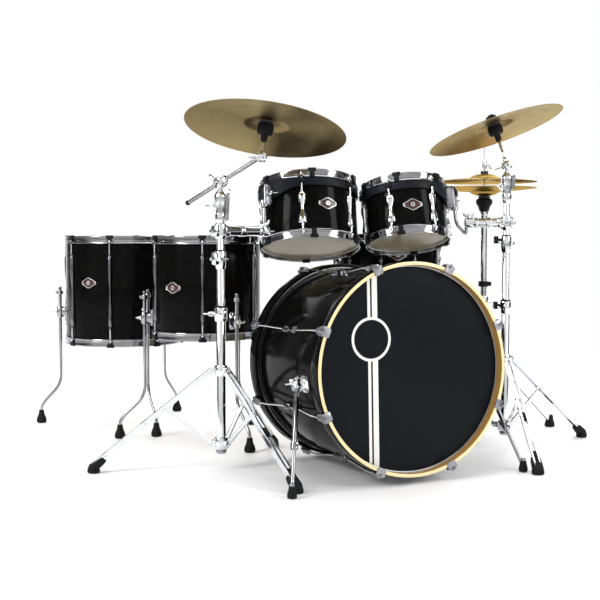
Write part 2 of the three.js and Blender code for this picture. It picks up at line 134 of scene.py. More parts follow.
def rounded(points, radius, steps=3, closed=False):
    """A polyline with its corners turned into short arcs."""
    pts = [Vector(p) for p in points]
    n = len(pts)
    out = []
    for i, p in enumerate(pts):
        if not closed and i in (0, n - 1):
            out.append(p)
            continue
        before, after = pts[i - 1], pts[(i + 1) % n]
        reach_in = min(radius, (before - p).length * 0.45)
        reach_out = min(radius, (after - p).length * 0.45)
        a = p + (before - p).normalized() * reach_in
        b = p + (after - p).normalized() * reach_out
        for k in range(steps + 1):
            t = k / steps
            out.append(a * (1 - t) ** 2 + p * 2 * t * (1 - t) + b * t * t)
    return out


class Shape:
    """Closed surfaces gathered in one local frame, in millimetres, then made into one object."""

    def __init__(self):
        self.verts = []
        self.faces = []
        self.slots = []

    def add(self, verts, faces, matrix=None, slots=None):
        start = len(self.verts)
        self.verts += [(matrix @ Vector(v)) if matrix else Vector(v) for v in verts]
        self.faces += [[start + i for i in f] for f in faces]
        self.slots += slots or [0] * len(faces)
        return self

    def lathe(self, profile, matrix=None, sides=DRUM_SIDES, closed=True, slots=None):
        """Turns (radius, z) points about +Z; each span of the profile may have its own slot."""
        verts, rows = [], []
        for r, z in [tuple(p)[:2] for p in profile]:
            if r < 1e-4:
                rows.append([len(verts)])
                verts.append((0, 0, z))
                continue
            rows.append(list(range(len(verts), len(verts) + sides)))
            for k in range(sides):
                a = 2 * math.pi * k / sides
                verts.append((r * math.cos(a), r * math.sin(a), z))
        faces, marks = [], []
        spans = list(zip(rows, rows[1:]))
        if closed:
            spans.append((rows[-1], rows[0]))
        for index, (low, high) in enumerate(spans):
            if len(low) == 1 and len(high) == 1:
                continue
            for k in range(sides):
                m = (k + 1) % sides
                if len(low) == 1:
                    faces.append([low[0], high[m], high[k]])
                elif len(high) == 1:
                    faces.append([low[k], low[m], high[0]])
                else:
                    faces.append([low[k], low[m], high[m], high[k]])
                marks.append(slots[index] if slots else 0)
        return self.add(verts, faces, matrix, marks)

    def loft(self, rings, matrix=None):
        """Skins closed rings of equal length, with both ends capped."""
        n = len(rings[0])
        verts = [v for ring in rings for v in ring]
        faces = []
        for i in range(len(rings) - 1):
            for k in range(n):
                m = (k + 1) % n
                faces.append([i * n + k, i * n + m, (i + 1) * n + m, (i + 1) * n + k])
        faces.append(list(reversed(range(n))))
        faces.append(list(range((len(rings) - 1) * n, len(rings) * n)))
        return self.add(verts, faces, matrix)

    def tube(self, path, radius, matrix=None, sides=16, flat=1.0, side=None):
        """A rod along a path; `flat` squeezes its section across `side`."""
        path = [Vector(p) for p in path]
        radii = radius if isinstance(radius, (list, tuple)) else [radius] * len(path)
        heading = (path[1] - path[0]).normalized()
        across = Vector(side) if side is not None else heading.orthogonal()
        across = (across - heading * across.dot(heading)).normalized()
        rings = []
        for i, p in enumerate(path):
            ahead = path[min(i + 1, len(path) - 1)] - path[max(i - 1, 0)]
            turn = heading.rotation_difference(ahead)
            across = (turn @ across).normalized()
            heading = ahead.normalized()
            other = heading.cross(across)
            rings.append(
                [
                    p + radii[i] * (across * math.cos(a) + other * math.sin(a) * flat)
                    for a in (2 * math.pi * k / sides for k in range(sides))
                ]
            )
        return self.loft(rings, matrix)

    def turned(self, profile, sides, matrix=None):
        """A solid turned piece: the profile starts and ends on the axis, or both its ends meet a bore."""
        return self.lathe(profile, matrix, sides, False)

    def sleeve(self, profile, sides, matrix=None):
        """A turned ring, closed on itself round its bore."""
        return self.lathe(profile, matrix, sides, True)

    def rod(self, a, b, radius, matrix=None, sides=16):
        """A straight pin with softly chamfered ends."""
        a, b = Vector(a), Vector(b)
        along = (b - a).normalized()
        soft = min(radius * 0.25, (b - a).length * 0.2)
        path = [a, a + along * soft, b - along * soft, b]
        return self.tube(path, [radius - soft, radius, radius, radius - soft], matrix, sides)

    def block(self, size, matrix=None, corner=0.2):
        """A rounded slab: superellipse section in X and Y, softened towards both Z ends."""
        sx, sy, sz = (s / 2 for s in size)
        soft = min(sx, sy, sz) * corner
        rings = []
        for z, inset in (
            (-sz, soft), (-sz + soft * 0.4, soft * 0.3), (-sz + soft, 0), (sz - soft, 0),
            (sz - soft * 0.4, soft * 0.3), (sz, soft)
        ):
            rings.append(slab_ring(sx - inset, sy - inset, z, soft))
        return self.loft(rings, matrix)

    def slab(self, outline, heights, matrix=None):
        """Stands a flat outline up through the given heights."""
        return self.loft([[Vector((p.x, p.y, z)) for p in outline] for z in heights], matrix)

    def boss(self, steps, deep, tall, matrix=None, power=3.2, n=24):
        """A soft-cornered pad standing along +X: each step gives a height and a share of the full size."""
        rings = [
            [Vector((x, v.x, v.y)) for v in oval_ring(deep * k, tall * k, 0, power, n)]
            for x, k in steps
        ]
        return self.loft(rings, matrix)

    def finish(self, name, materials, body, matrix=None, crease=38, replaces=(), slot=None):
        mesh = bpy.data.meshes.new(name)
        mesh.from_pydata([tuple(v * MM) for v in self.verts], [], self.faces)
        for m in materials if isinstance(materials, (list, tuple)) else [materials]:
            mesh.materials.append(m)
        mesh.polygons.foreach_set("material_index", self.slots)
        work = bmesh.new()
        work.from_mesh(mesh)
        bmesh.ops.recalc_face_normals(work, faces=work.faces)
        work.to_mesh(mesh)
        work.free()
        mesh.polygons.foreach_set("use_smooth", [True] * len(mesh.polygons))
        mesh.set_sharp_from_angle(angle=math.radians(crease))
        obj = bpy.data.objects.new(name, mesh)
        bpy.context.scene.collection.objects.link(obj)
        if matrix is not None:
            obj.matrix_world = matrix
        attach(obj, body)
        if replaces:
            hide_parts(*replaces)
        return obj


def slab_ring(sx, sy, z, corner):
    """A rectangle outline with round corners, at height z."""
    ring = []
    for cx, cy, start in ((1, 1, 0), (-1, 1, 90), (-1, -1, 180), (1, -1, 270)):
        for k in range(4):
            a = math.radians(start + 90 * k / 3)
            ring.append(
                Vector(
                    (
                        cx * (sx - corner) + corner * math.cos(a),
                        cy * (sy - corner) + corner * math.sin(a), z
                    )
                )
            )
    return ring


def oval_ring(sx, sy, z, power=3.2, n=24):
    """A superellipse outline at height z."""
    ring = []
    for k in range(n):
        a = 2 * math.pi * k / n
        c, s = math.cos(a), math.sin(a)
        ring.append(
            Vector(
                (
                    sx * math.copysign(abs(c) ** (2 / power), c),
                    sy * math.copysign(abs(s) ** (2 / power), s), z
                )
            )
        )
    return ring


def wing_bolt(shape, matrix, span=15):
    """A round boss with a pair of swept wings, standing along the matrix's +Z."""
    k = span / 15
    boss = [(0, 0), (4.6, 0), (5.2, 2), (4.2, 9), (2.2, 11), (0, 11)]
    shape.turned([(r * k, z * k) for r, z in boss], 16, matrix)
    for s in (-1, 1):
        path = [(s * x * k, 0, z * k) for x, z in ((2, 4), (6, 6), (11, 9.5), (14.5, 14.5))]
        shape.tube(path, [3.2 * k, 3.8 * k, 4.4 * k, 3.4 * k], matrix, 10, flat=0.42, side=(0, 0, 1))


def key_bolt(shape, matrix, length):
    """A tension rod: threaded stem, washer, flange and square drive head, along +Z."""
    shape.rod((0, 0, 0), (0, 0, length), 2.6, matrix, sides=12)
    collar = [
        (0, length), (6.4, length), (6.4, length + 1.4), (4.8, length + 2.2), (4.4, length + 5.5),
        (0, length + 6)
    ]
    shape.turned(collar, 18, matrix)
    shape.block((5, 5, 6), matrix @ shift(z=length + 8.6))


# ---------------------------------------------------------------- materials


class Paint:
    """A principled material with helpers for its procedural detail."""

    def __init__(self, name, color, roughness, metallic=0.0, **constants):
        self.mat = bpy.data.materials.new(name)
        self.mat.use_nodes = True
        self.nodes = self.mat.node_tree.nodes
        self.links = self.mat.node_tree.links
        self.shader = self.nodes["Principled BSDF"]
        self.set("Base Color", (*color, 1.0))
        self.set("Roughness", roughness)
        self.set("Metallic", metallic)
        for key, value in constants.items():
            self.set(key.replace("_", " "), value)
        self.coords = self.nodes.new("ShaderNodeTexCoord").outputs["Object"]
        self.bumps = []

    def set(self, socket, value):
        self.shader.inputs[socket].default_value = value

    def link(self, source, socket):
        self.links.new(source, self.shader.inputs[socket])

    def stretched(self, scale):
        node = self.nodes.new("ShaderNodeMapping")
        node.inputs["Scale"].default_value = scale
        self.links.new(self.coords, node.inputs["Vector"])
        return node.outputs["Vector"]

    def noise(self, scale, detail=3.0, rough=0.5, stretch=None, distortion=0.0):
        node = self.nodes.new("ShaderNodeTexNoise")
        node.inputs["Scale"].default_value = scale
        node.inputs["Detail"].default_value = detail
        node.inputs["Roughness"].default_value = rough
        node.inputs["Distortion"].default_value = distortion
        self.links.new(self.stretched(stretch) if stretch else self.coords, node.inputs["Vector"])
        return node.outputs["Fac"]

    def math(self, operation, a, b=0.0):
        node = self.nodes.new("ShaderNodeMath")
        node.operation = operation
        for value, socket in ((a, node.inputs[0]), (b, node.inputs[1])):
            if isinstance(value, (int, float)):
                socket.default_value = value
            else:
                self.links.new(value, socket)
        return node.outputs["Value"]

    def distance(self, x=0.0, y=0.0):
        """Distance from a line along the object's own Z axis."""
        across = self.math("POWER", self.math("SUBTRACT", self.part("X"), x), 2.0)
        down = self.math("POWER", self.math("SUBTRACT", self.part("Y"), y), 2.0)
        return self.math("SQRT", self.math("ADD", across, down))

    def part(self, name):
        split = self.nodes.new("ShaderNodeSeparateXYZ")
        self.links.new(self.coords, split.inputs["Vector"])
        return split.outputs[name]

    def spread(self, value, low, high, start=0.3, end=0.7):
        node = self.nodes.new("ShaderNodeMapRange")
        for key, number in (("From Min", start), ("From Max", end), ("To Min", low), ("To Max", high)):
            node.inputs[key].default_value = number
        self.links.new(value, node.inputs["Value"])
        return node.outputs["Result"]

    def gloss(self, low, high, *grain):
        """Roughness that wanders between two values; `grain` is what noise() takes."""
        self.link(self.spread(self.noise(*grain), low, high), "Roughness")

    def tone(self, dark, light, *grain):
        """Base colour that wanders between two shades."""
        self.link(self.mix(self.spread(self.noise(*grain), 0.0, 1.0), dark, light), "Base Color")

    def ramp(self, value, stops):
        node = self.nodes.new("ShaderNodeValToRGB")
        marks = node.color_ramp.elements
        while len(marks) < len(stops):
            marks.new(0.5)
        for mark, (place, color) in zip(marks, stops):
            mark.position = place
            mark.color = (*color, 1.0)
        self.links.new(value, node.inputs["Fac"])
        return node.outputs["Color"]

    def mix(self, factor, a, b):
        node = self.nodes.new("ShaderNodeMix")
        node.data_type = "RGBA"
        for value, socket in ((factor, "Factor"), (a, "A"), (b, "B")):
            if isinstance(value, tuple):
                node.inputs[socket].default_value = (*value, 1.0)
            else:
                self.links.new(value, node.inputs[socket])
        return node.outputs["Result"]

    def bump(self, height, strength, distance=0.001):
        node = self.nodes.new("ShaderNodeBump")
        node.inputs["Strength"].default_value = strength
        node.inputs["Distance"].default_value = distance
        self.links.new(height, node.inputs["Height"])
        if self.bumps:
            self.links.new(self.bumps[-1], node.inputs["Normal"])
        self.bumps.append(node.outputs["Normal"])
        self.link(node.outputs["Normal"], "Normal")
        return self


def lacquer():
    p = Paint("black_lacquer", (0.003, 0.003, 0.003), 0.1, Specular_IOR_Level=0.045)
    p.gloss(0.085, 0.125, 9, 4)
    p.tone((0.0022, 0.0022, 0.0022), (0.0045, 0.0045, 0.0042), 55, 2)
    return p.bump(p.noise(140, 1), 0.05, 0.0003).mat


def satin_black():
    p = Paint("satin_black_paint", (0.008, 0.010, 0.014), 0.46, Specular_IOR_Level=0.12)
    p.gloss(0.34, 0.52, 30, 4)
    p.tone((0.005, 0.007, 0.010), (0.011, 0.014, 0.020), 18, 3)
    return p.bump(p.noise(520, 2), 0.12, 0.0003).mat


def metal(name, dark, light, low, high, grain=0.03, scale=30):
    p = Paint(name, light, low, 1.0)
    p.link(p.spread(p.noise(scale, 5, 0.6), low, high), "Roughness")
    p.tone(dark, light, scale * 0.35, 3)
    return p.bump(p.noise(scale * 14, 2), grain, 0.0004).mat


def maple(name, pale, deep):
    """Clear-varnished ply: fine fibres running round the hoop, with a few darker lines."""
    p = Paint(name, pale, 0.28, Coat_Weight=0.5, Coat_Roughness=0.12)
    fibre = p.noise(5, 6, 0.62, (60, 60, 420), 0.4)
    patch = p.noise(7, 3)
    tone = p.mix(p.spread(fibre, 0.0, 1.0, 0.35, 0.7), pale, deep)
    p.link(p.mix(p.spread(patch, 0.0, 0.35), tone, deep), "Base Color")
    p.link(p.spread(fibre, 0.28, 0.44), "Roughness")
    return p.bump(fibre, 0.12, 0.0004).mat


def shell_inside():
    p = Paint("bare_ply_inside", (0.46, 0.35, 0.21), 0.5)
    grain = p.noise(4, 6, 0.6, (14, 14, 150), 0.5)
    p.link(
        p.ramp(grain, [(0.3, (0.62, 0.50, 0.33)), (0.55, (0.50, 0.38, 0.23)), (0.75, (0.36, 0.26, 0.15))]),
        "Base Color"
    )
    p.link(p.spread(grain, 0.42, 0.6), "Roughness")
    return p.bump(grain, 0.15, 0.0005).mat


def front_film(stripes, ring):
    """Blue-black drum film printed with two pale stripes that stop at a plain ring."""
    p = Paint("front_head_film", (0.006, 0.0085, 0.011), 0.36, Specular_IOR_Level=0.08)
    x = p.part("X")
    print_mask = None
    for centre, width in stripes:
        inside = p.math("LESS_THAN", p.math("ABSOLUTE", p.math("SUBTRACT", x, centre)), width / 2)
        print_mask = inside if print_mask is None else p.math("MAXIMUM", print_mask, inside)
    (ring_x, ring_y), ring_radius, ring_width = ring
    away = p.distance(ring_x, ring_y)
    outside = p.math("GREATER_THAN", away, ring_radius + ring_width / 2)
    circle = p.math("LESS_THAN", p.math("ABSOLUTE", p.math("SUBTRACT", away, ring_radius)), ring_width / 2)
    print_mask = p.math("MAXIMUM", p.math("MULTIPLY", print_mask, outside), circle)
    cloud = p.spread(p.noise(3, 3), 0.0, 1.0)
    film = p.mix(cloud, (0.0042, 0.0060, 0.0078), (0.0066, 0.0090, 0.0115))
    ink = p.mix(p.spread(p.noise(60, 4), 0.0, 1.0), (0.84, 0.84, 0.80), (0.92, 0.92, 0.88))
    p.link(p.mix(print_mask, film, ink), "Base Color")
    p.gloss(0.30, 0.40, 40, 4)
    return p.bump(p.noise(700, 2), 0.06, 0.0002).mat


def clear_film(tint, alpha):
    p = Paint("clear_head_film", tint, 0.18, Specular_IOR_Level=0.16, Alpha=alpha)
    p.gloss(0.12, 0.24, 14, 4)
    p.link(p.mix(p.spread(p.noise(5, 3), 0.0, 1.0), tuple(c * 0.88 for c in tint), tint), "Base Color")
    return p.bump(p.noise(9, 2), 0.04, 0.001).mat


def coated_film():
    p = Paint("coated_head_film", (0.78, 0.77, 0.73), 0.62)
    smudge = p.spread(p.noise(16, 5, 0.6), 0.0, 1.0, 0.42, 0.78)
    p.link(p.mix(smudge, (0.80, 0.79, 0.75), (0.68, 0.67, 0.63)), "Base Color")
    p.gloss(0.55, 0.72, 90, 3)
    return p.bump(p.noise(900, 3), 0.35, 0.0003).mat


def bronze(name, pale, deep, glint, grooves=1500.0):
    """Lathed cast bronze: fine circular tool marks, streaks between them and a little tarnish."""
    p = Paint(name, pale, 0.3, 1.0, Anisotropic=0.88)
    p.set("Specular Tint", (*glint, 1.0))
    tangent = p.nodes.new("ShaderNodeTangent")
    tangent.direction_type = "RADIAL"
    tangent.axis = "Z"
    p.link(tangent.outputs["Tangent"], "Tangent")
    r = p.distance()
    lathe_marks = p.math("SINE", p.math("MULTIPLY", r, grooves))
    bands = p.math("SINE", p.math("MULTIPLY", r, grooves * 0.083))
    streak = p.nodes.new("ShaderNodeTexNoise")
    streak.inputs["Scale"].default_value = 260.0
    streak.inputs["Detail"].default_value = 3.0
    pack = p.nodes.new("ShaderNodeCombineXYZ")
    p.links.new(r, pack.inputs["X"])
    p.links.new(pack.outputs["Vector"], streak.inputs["Vector"])
    tarnish = p.spread(p.noise(11, 5, 0.6), 0.0, 1.0, 0.35, 0.72)
    base = p.mix(p.spread(streak.outputs["Fac"], 0.0, 1.0), deep, pale)
    p.link(p.mix(p.math("MULTIPLY", tarnish, 0.3), base, deep), "Base Color")
    mixed = p.math("ADD", p.spread(bands, 0.0, 0.04, -1.0, 1.0), p.spread(p.noise(12, 3), 0.33, 0.38))
    p.link(mixed, "Roughness")
    return p.bump(lathe_marks, 0.10, 0.0002).mat


def enamel():
    """Dark red-brown baked enamel of the badge field."""
    p = Paint("dark_enamel", (0.045, 0.012, 0.011), 0.22)
    p.tone((0.030, 0.009, 0.008), (0.070, 0.018, 0.016), 160, 3)
    p.gloss(0.16, 0.3, 90, 3)
    return p.bump(p.noise(600, 2), 0.08, 0.0002).mat


def rubber():
    p = Paint("black_rubber", (0.006, 0.006, 0.007), 0.62, Specular_IOR_Level=0.16)
    p.gloss(0.5, 0.75, 40, 4)
    p.tone((0.004, 0.0045, 0.005), (0.011, 0.0115, 0.0125), 22, 4)
    return p.bump(p.noise(420, 3), 0.25, 0.0004).mat


def felt():
    p = Paint("black_felt", (0.018, 0.018, 0.020), 0.95, Sheen_Weight=0.4, Sheen_Roughness=0.5)
    p.tone((0.010, 0.010, 0.012), (0.035, 0.035, 0.038), 500, 4, 0.7)
    return p.bump(p.noise(900, 4, 0.8), 0.6, 0.0008).mat


LACQUER = lacquer()
SATIN = satin_black()
NICKEL = metal("black_nickel", (0.15, 0.15, 0.16), (0.23, 0.23, 0.245), 0.08, 0.17)
HOOP_NICKEL = metal("dark_chrome_hoop", (0.27, 0.27, 0.285), (0.38, 0.38, 0.395), 0.07, 0.15)
DARK_STEEL = metal("smoked_chrome", (0.26, 0.26, 0.27), (0.40, 0.40, 0.41), 0.12, 0.22)
CHROME = metal("bright_chrome", (0.70, 0.71, 0.73), (0.86, 0.87, 0.88), 0.045, 0.12, 0.015, 22)
CAST = metal("grey_cast_metal", (0.27, 0.27, 0.30), (0.38, 0.38, 0.41), 0.30, 0.44, 0.08)
ALUMINIUM = metal("satin_aluminium", (0.52, 0.53, 0.55), (0.66, 0.67, 0.69), 0.24, 0.38, 0.06)
WIRE = metal("snare_wire_steel", (0.55, 0.55, 0.56), (0.72, 0.72, 0.73), 0.2, 0.3)
HOOP_EDGE = maple("varnished_maple_edge", (0.95, 0.80, 0.46), (0.88, 0.69, 0.34))
HOOP_INNER = maple("amber_maple_inner", (0.47, 0.27, 0.075), (0.30, 0.155, 0.038))
KHAKI, AMBER = (0.84, 0.78, 0.64), (0.70, 0.56, 0.32)
PLY = shell_inside()
CLEAR = clear_film((0.34, 0.285, 0.165), 0.6)
COATED = coated_film()
BRONZE = bronze("crash_bronze", (0.36, 0.285, 0.15), (0.27, 0.205, 0.10), KHAKI)
GOLD_BRONZE = bronze("hihat_bronze", (0.40, 0.27, 0.082), (0.31, 0.205, 0.058), AMBER, 1900.0)
ENAMEL = enamel()
RUBBER = rubber()
FELT = felt()

# ---------------------------------------------------------------- drums


def ring_profile(inner, outer, low, high, soft=1.2):
    """A rectangle section for a ring, with softened corners."""
    corners = [(inner, low, 0), (outer, low, 0), (outer, high, 0), (inner, high, 0)]
    return [tuple(p)[:2] for p in rounded(corners, soft, 2, closed=True)]


def cast_lug(shape, radius, angle, half, waist, wide, deep):
    """A cast lug standing off the shell: wide bevelled ends that taper to a narrow waist."""
    sizes = [(-1, 0.66, 0.5), (-0.97, 0.86, 0.8), (-0.91, 0.97, 0.96), (-0.8, 1, 1), (-0.52, 0.93, 0.93)]
    sizes += [(-0.2, waist + 0.06, 0.76), (0, waist, 0.7)]
    sizes += [(-z, w, d) for z, w, d in reversed(sizes[:-1])]
    place = spin(angle) @ shift(x=radius - 1)
    rings = []
    for z, w, d in sizes:
        x, y = deep * d, wide / 2 * w
        ring = [
            (-0.5, -y, 0), (-0.5, y, 0), (x * 0.62, y, 0), (x, y * 0.5, 0), (x, -y * 0.5, 0),
            (x * 0.62, -y, 0)
        ]
        rings.append([Vector((v.x, v.y, z * half)) for v in rounded(ring, 1.8, 2, closed=True)])
    shape.loft(rings, place)
    for end in (-1, 1):
        nut = [(0, 0), (3.9, 0), (4.4, 1), (4.4, 7), (3.4, 8.4), (0, 8.4)]
        up = spin(angle) @ shift(x=radius + deep * 0.48, z=end * (half - 1))
        if end < 0:
            up = up @ OVER
        shape.turned(nut, 14, up)


def hoop_profile(radius, edge):
    """Steel counter-hoop: lower flange, tall plain wall with one seam bead, rolled-in top lip."""
    points = [
        (1.0, -13.2), (5.2, -13.6), (6.9, -13.2), (7.3, -12.2), (6.9, -11.2), (5.9, -10.4), (5.6, -9.2),
        (5.6, -6.4), (6.3, -5.7), (6.3, -4.9), (5.6, -4.2), (5.5, 8.6), (5.9, 10.6), (5.4, 12.0), (4.2, 12.4),
        (3.1, 11.6), (2.8, 9.6), (2.8, -6.4), (2.2, -9.4), (1.0, -11.4),
    ]
    return [(radius + r, edge + z) for r, z in points]


def drum_end(name, body, matrix, radius, edge, lugs, first, film, pads, lug_half, reach, replaces):
    """One end of a drum along the matrix's +Z: hoop, ears, tension rods, head and its flesh hoop."""
    hoop = Shape().lathe(hoop_profile(radius, edge))
    bolts = Shape()
    rubbers = Shape()
    for turn in around(lugs, first):
        ear = [
            (radius + 5.2, -12), (radius + reach + 4.6, -10), (radius + reach + 4.2, 10), (radius + 5.2, 12)
        ]
        outline = rounded([(x, y, 0) for x, y in ear], 4.5, 3, closed=True)
        hoop.slab(outline, (edge - 12.9, edge - 12.3, edge - 8.8, edge - 8.2), turn)
        rod_foot = lug_half + 4
        key_bolt(bolts, turn @ shift(x=radius + reach, z=rod_foot), edge - 8 - rod_foot)
        if pads is not None:
            beside = turn @ spin(pads)
            rubbers.block((8.6, 25, 11), beside @ shift(x=radius + 5.3, z=edge + 8.9), corner=0.3)
            rubbers.block((4.6, 15, 24), beside @ shift(x=radius + 8.2, z=edge - 2.5), corner=0.3)
    hoop.finish(name + "_hoop", HOOP_NICKEL, body, matrix, replaces=replaces)
    bolts.finish(name + "_tension_rods", CHROME, body, matrix)
    if pads is not None:
        rubbers.finish(name + "_rim_pads", RUBBER, body, matrix)
    flesh = [
        (radius + 0.9, edge - 7.5), (radius + 2.6, edge - 7.5), (radius + 2.8, edge - 1),
        (radius + 1.8, edge + 0.4), (radius + 0.9, edge - 0.6)
    ]
    Shape().lathe(flesh).finish(name + "_flesh_hoop", ALUMINIUM, body, matrix)
    skin = [
        (0, edge + 1.2), (radius * 0.5, edge + 1.15), (radius - 8, edge + 0.95), (radius - 2.2, edge + 0.7),
        (radius + 0.6, edge - 1.2), (radius + 0.85, edge - 4)
    ]
    under = [(r - (0.3 if i > 3 else 0), z - 0.3) for i, (r, z) in enumerate(skin)]
    under[0] = (0, edge + 0.9)
    Shape().lathe(skin + under[::-1], closed=False).finish(name + "_head", film, body, matrix)


def both_ends(
    name, body, matrix, radius, edge, lugs, first, pads, halves, reach, nodes, names=("_top", "_bottom")
):
    """Coated head and hoop on top, clear head and hoop below, with rods that reach the lugs' ends."""
    for film, way, place, half, node, end in zip(
        (COATED, CLEAR), (1, -1), (matrix, matrix @ OVER), halves, nodes, names
    ):
        turned_pads = pads * way if pads is not None else None
        drum_end(
            name + end, body, place, radius, edge, lugs, first * way, film, turned_pads, half, reach, node
        )


def drum_shell(name, body, matrix, radius, edge, wall, replaces, sides=DRUM_SIDES, inset=3.2):
    """A ply shell: lacquer outside, bare ply inside and on both bevelled bearing edges."""
    top = [
        (radius, edge - 5), (radius - 0.8, edge - 1.6), (radius - 1.8, edge),
        (radius - wall + 0.4, edge - inset)
    ]
    profile = [(radius, -edge + 5)] + top + [
        (radius - wall, edge - inset - 3), (radius - wall, -edge + inset + 3)
    ]
    profile += [(r, -z) for r, z in reversed(top)][:-1]
    count = len(profile)
    slots = [0] + [1] * (count - 1)
    Shape().lathe(profile, sides=sides, slots=slots).finish(
        name + "_ply_shell", [LACQUER, PLY], body, matrix, crease=32, replaces=replaces
    )


def vent_badge(name, body, matrix, radius, angle, z):
    """A blank plate round the shell's air vent: dark oval field in a raised pale rim with a waist."""
    place = spin(angle) @ shift(x=radius, z=z)

    def outline(grow, lift):
        ring = []
        for k in range(48):
            a = 2 * math.pi * k / 48
            y = 30 * grow * math.cos(a)
            up = (15.5 + 3.2 * math.cos(4 * a)) * grow * math.sin(a)
            ring.append(Vector((math.sqrt(radius * radius - y * y) - radius + lift, y, up)))
        return ring

    rim = Shape()
    rim.loft(
        [
            outline(*step)
            for step in ((1.0, 0.1), (1.0, 1.4), (0.97, 2.1), (0.90, 2.2), (0.86, 1.6), (0.85, 0.6))
        ],
        place
    )
    rim.sleeve([(2.4, 1.4), (6.6, 1.4), (7.4, 2.3), (6.4, 3.4), (3.2, 3.4), (2.4, 2.4)], 28, place @ OUTWARD)
    for side in (-1, 1):
        pin = spin(angle) @ spin(side * math.degrees(22 / radius)) @ shift(x=radius, z=z)
        rim.turned([(0, 1.2), (1.5, 1.2), (1.5, 1.8), (0.8, 2.4), (0, 2.5)], 14, pin @ OUTWARD)
    rim.finish(name + "_vent_badge", ALUMINIUM, body, matrix)
    field = Shape()
    field.loft([outline(*step) for step in ((0.86, 0.5), (0.855, 1.5), (0.80, 1.75))], place)
    field.finish(name + "_badge_field", ENAMEL, body, matrix)


def inner_screws(name, body, matrix, radius, wall, lugs, first, heights):
    """Pan-head screws and washers that hold the lugs, seen inside the shell."""
    screws = Shape()
    for turn in around(lugs, first):
        for z in heights:
            place = turn @ shift(x=radius - wall + 0.2, z=z) @ INWARD
            screws.turned(
                [(0, 0), (5.5, 0), (5.5, 1), (3.8, 1.2), (3.5, 3.2), (2.2, 4.2), (0, 4.4)], 14, place
            )
    screws.finish(name + "_lug_screws", DARK_STEEL, body, matrix)


# ---------------------------------------------------------------- bass drum

BASS = between("bass_front_hoop", "bass_rear_hoop")
BASS_R, BASS_HALF = 279.5, 235.0
BASS_HOOP = (283.6, 293.5, 44.0)
BASS_EDGE = BASS_HALF - 26
STRIPES = [(-0.1279, 0.0086), (-0.1102, 0.0162)]
RING = ((-0.1215, -0.086), 0.056, 0.0075)
FRONT_FILM = front_film(STRIPES, RING)


def hoop_claw(shape, bolts, turn, face, out):
    """A cast claw: square hook plate folded over the hoop's face, drum key bolt and its rod boss behind."""
    outer = BASS_HOOP[1]
    rings = []
    for dz, grow in ((0.4, 0.93), (1.0, 0.985), (3.6, 0.985), (4.4, 0.90)):
        outline = rounded(
            [
                (outer - 13.5, -13 * grow, 0), (outer + 8.5, -14.5 * grow, 0),
                (outer + 8.5, 14.5 * grow, 0), (outer - 13.5, 13 * grow, 0)
            ],
            3, 3, closed=True
        )
        rings.append([Vector((p.x, p.y, face + out * dz)) for p in outline])
    shape.loft(rings, turn)
    path = [
        (outer + 6.4, 4.2, 14.3), (outer + 6.6, -4, 14.5), (outer + 6.4, -16, 12.6),
        (outer + 5.6, -30, 9.5), (outer + 4.6, -37, 7)
    ]
    rings = []
    for r, z, w in path:
        rings.append([Vector((r + v.x, v.y, face + out * z)) for v in oval_ring(2.6, w, 0, 4.0, 20)])
    shape.loft(rings, turn)
    stand = turn @ shift(x=outer + 7.5, z=face - out * 10)
    if out < 0:
        stand = stand @ OVER
    shape.turned([(0, -19), (6.6, -19), (7.6, -17), (7.9, 6), (6.6, 8), (0, 8)], 24, stand)
    bolts.turned(
        [(0, 8), (8.0, 8), (8.6, 9.4), (8.0, 11), (6, 11.6), (5.2, 17), (3.4, 18.6), (0, 18.8)], 24, stand
    )
    bolts.block((5.6, 5.6, 6), stand @ shift(z=21))


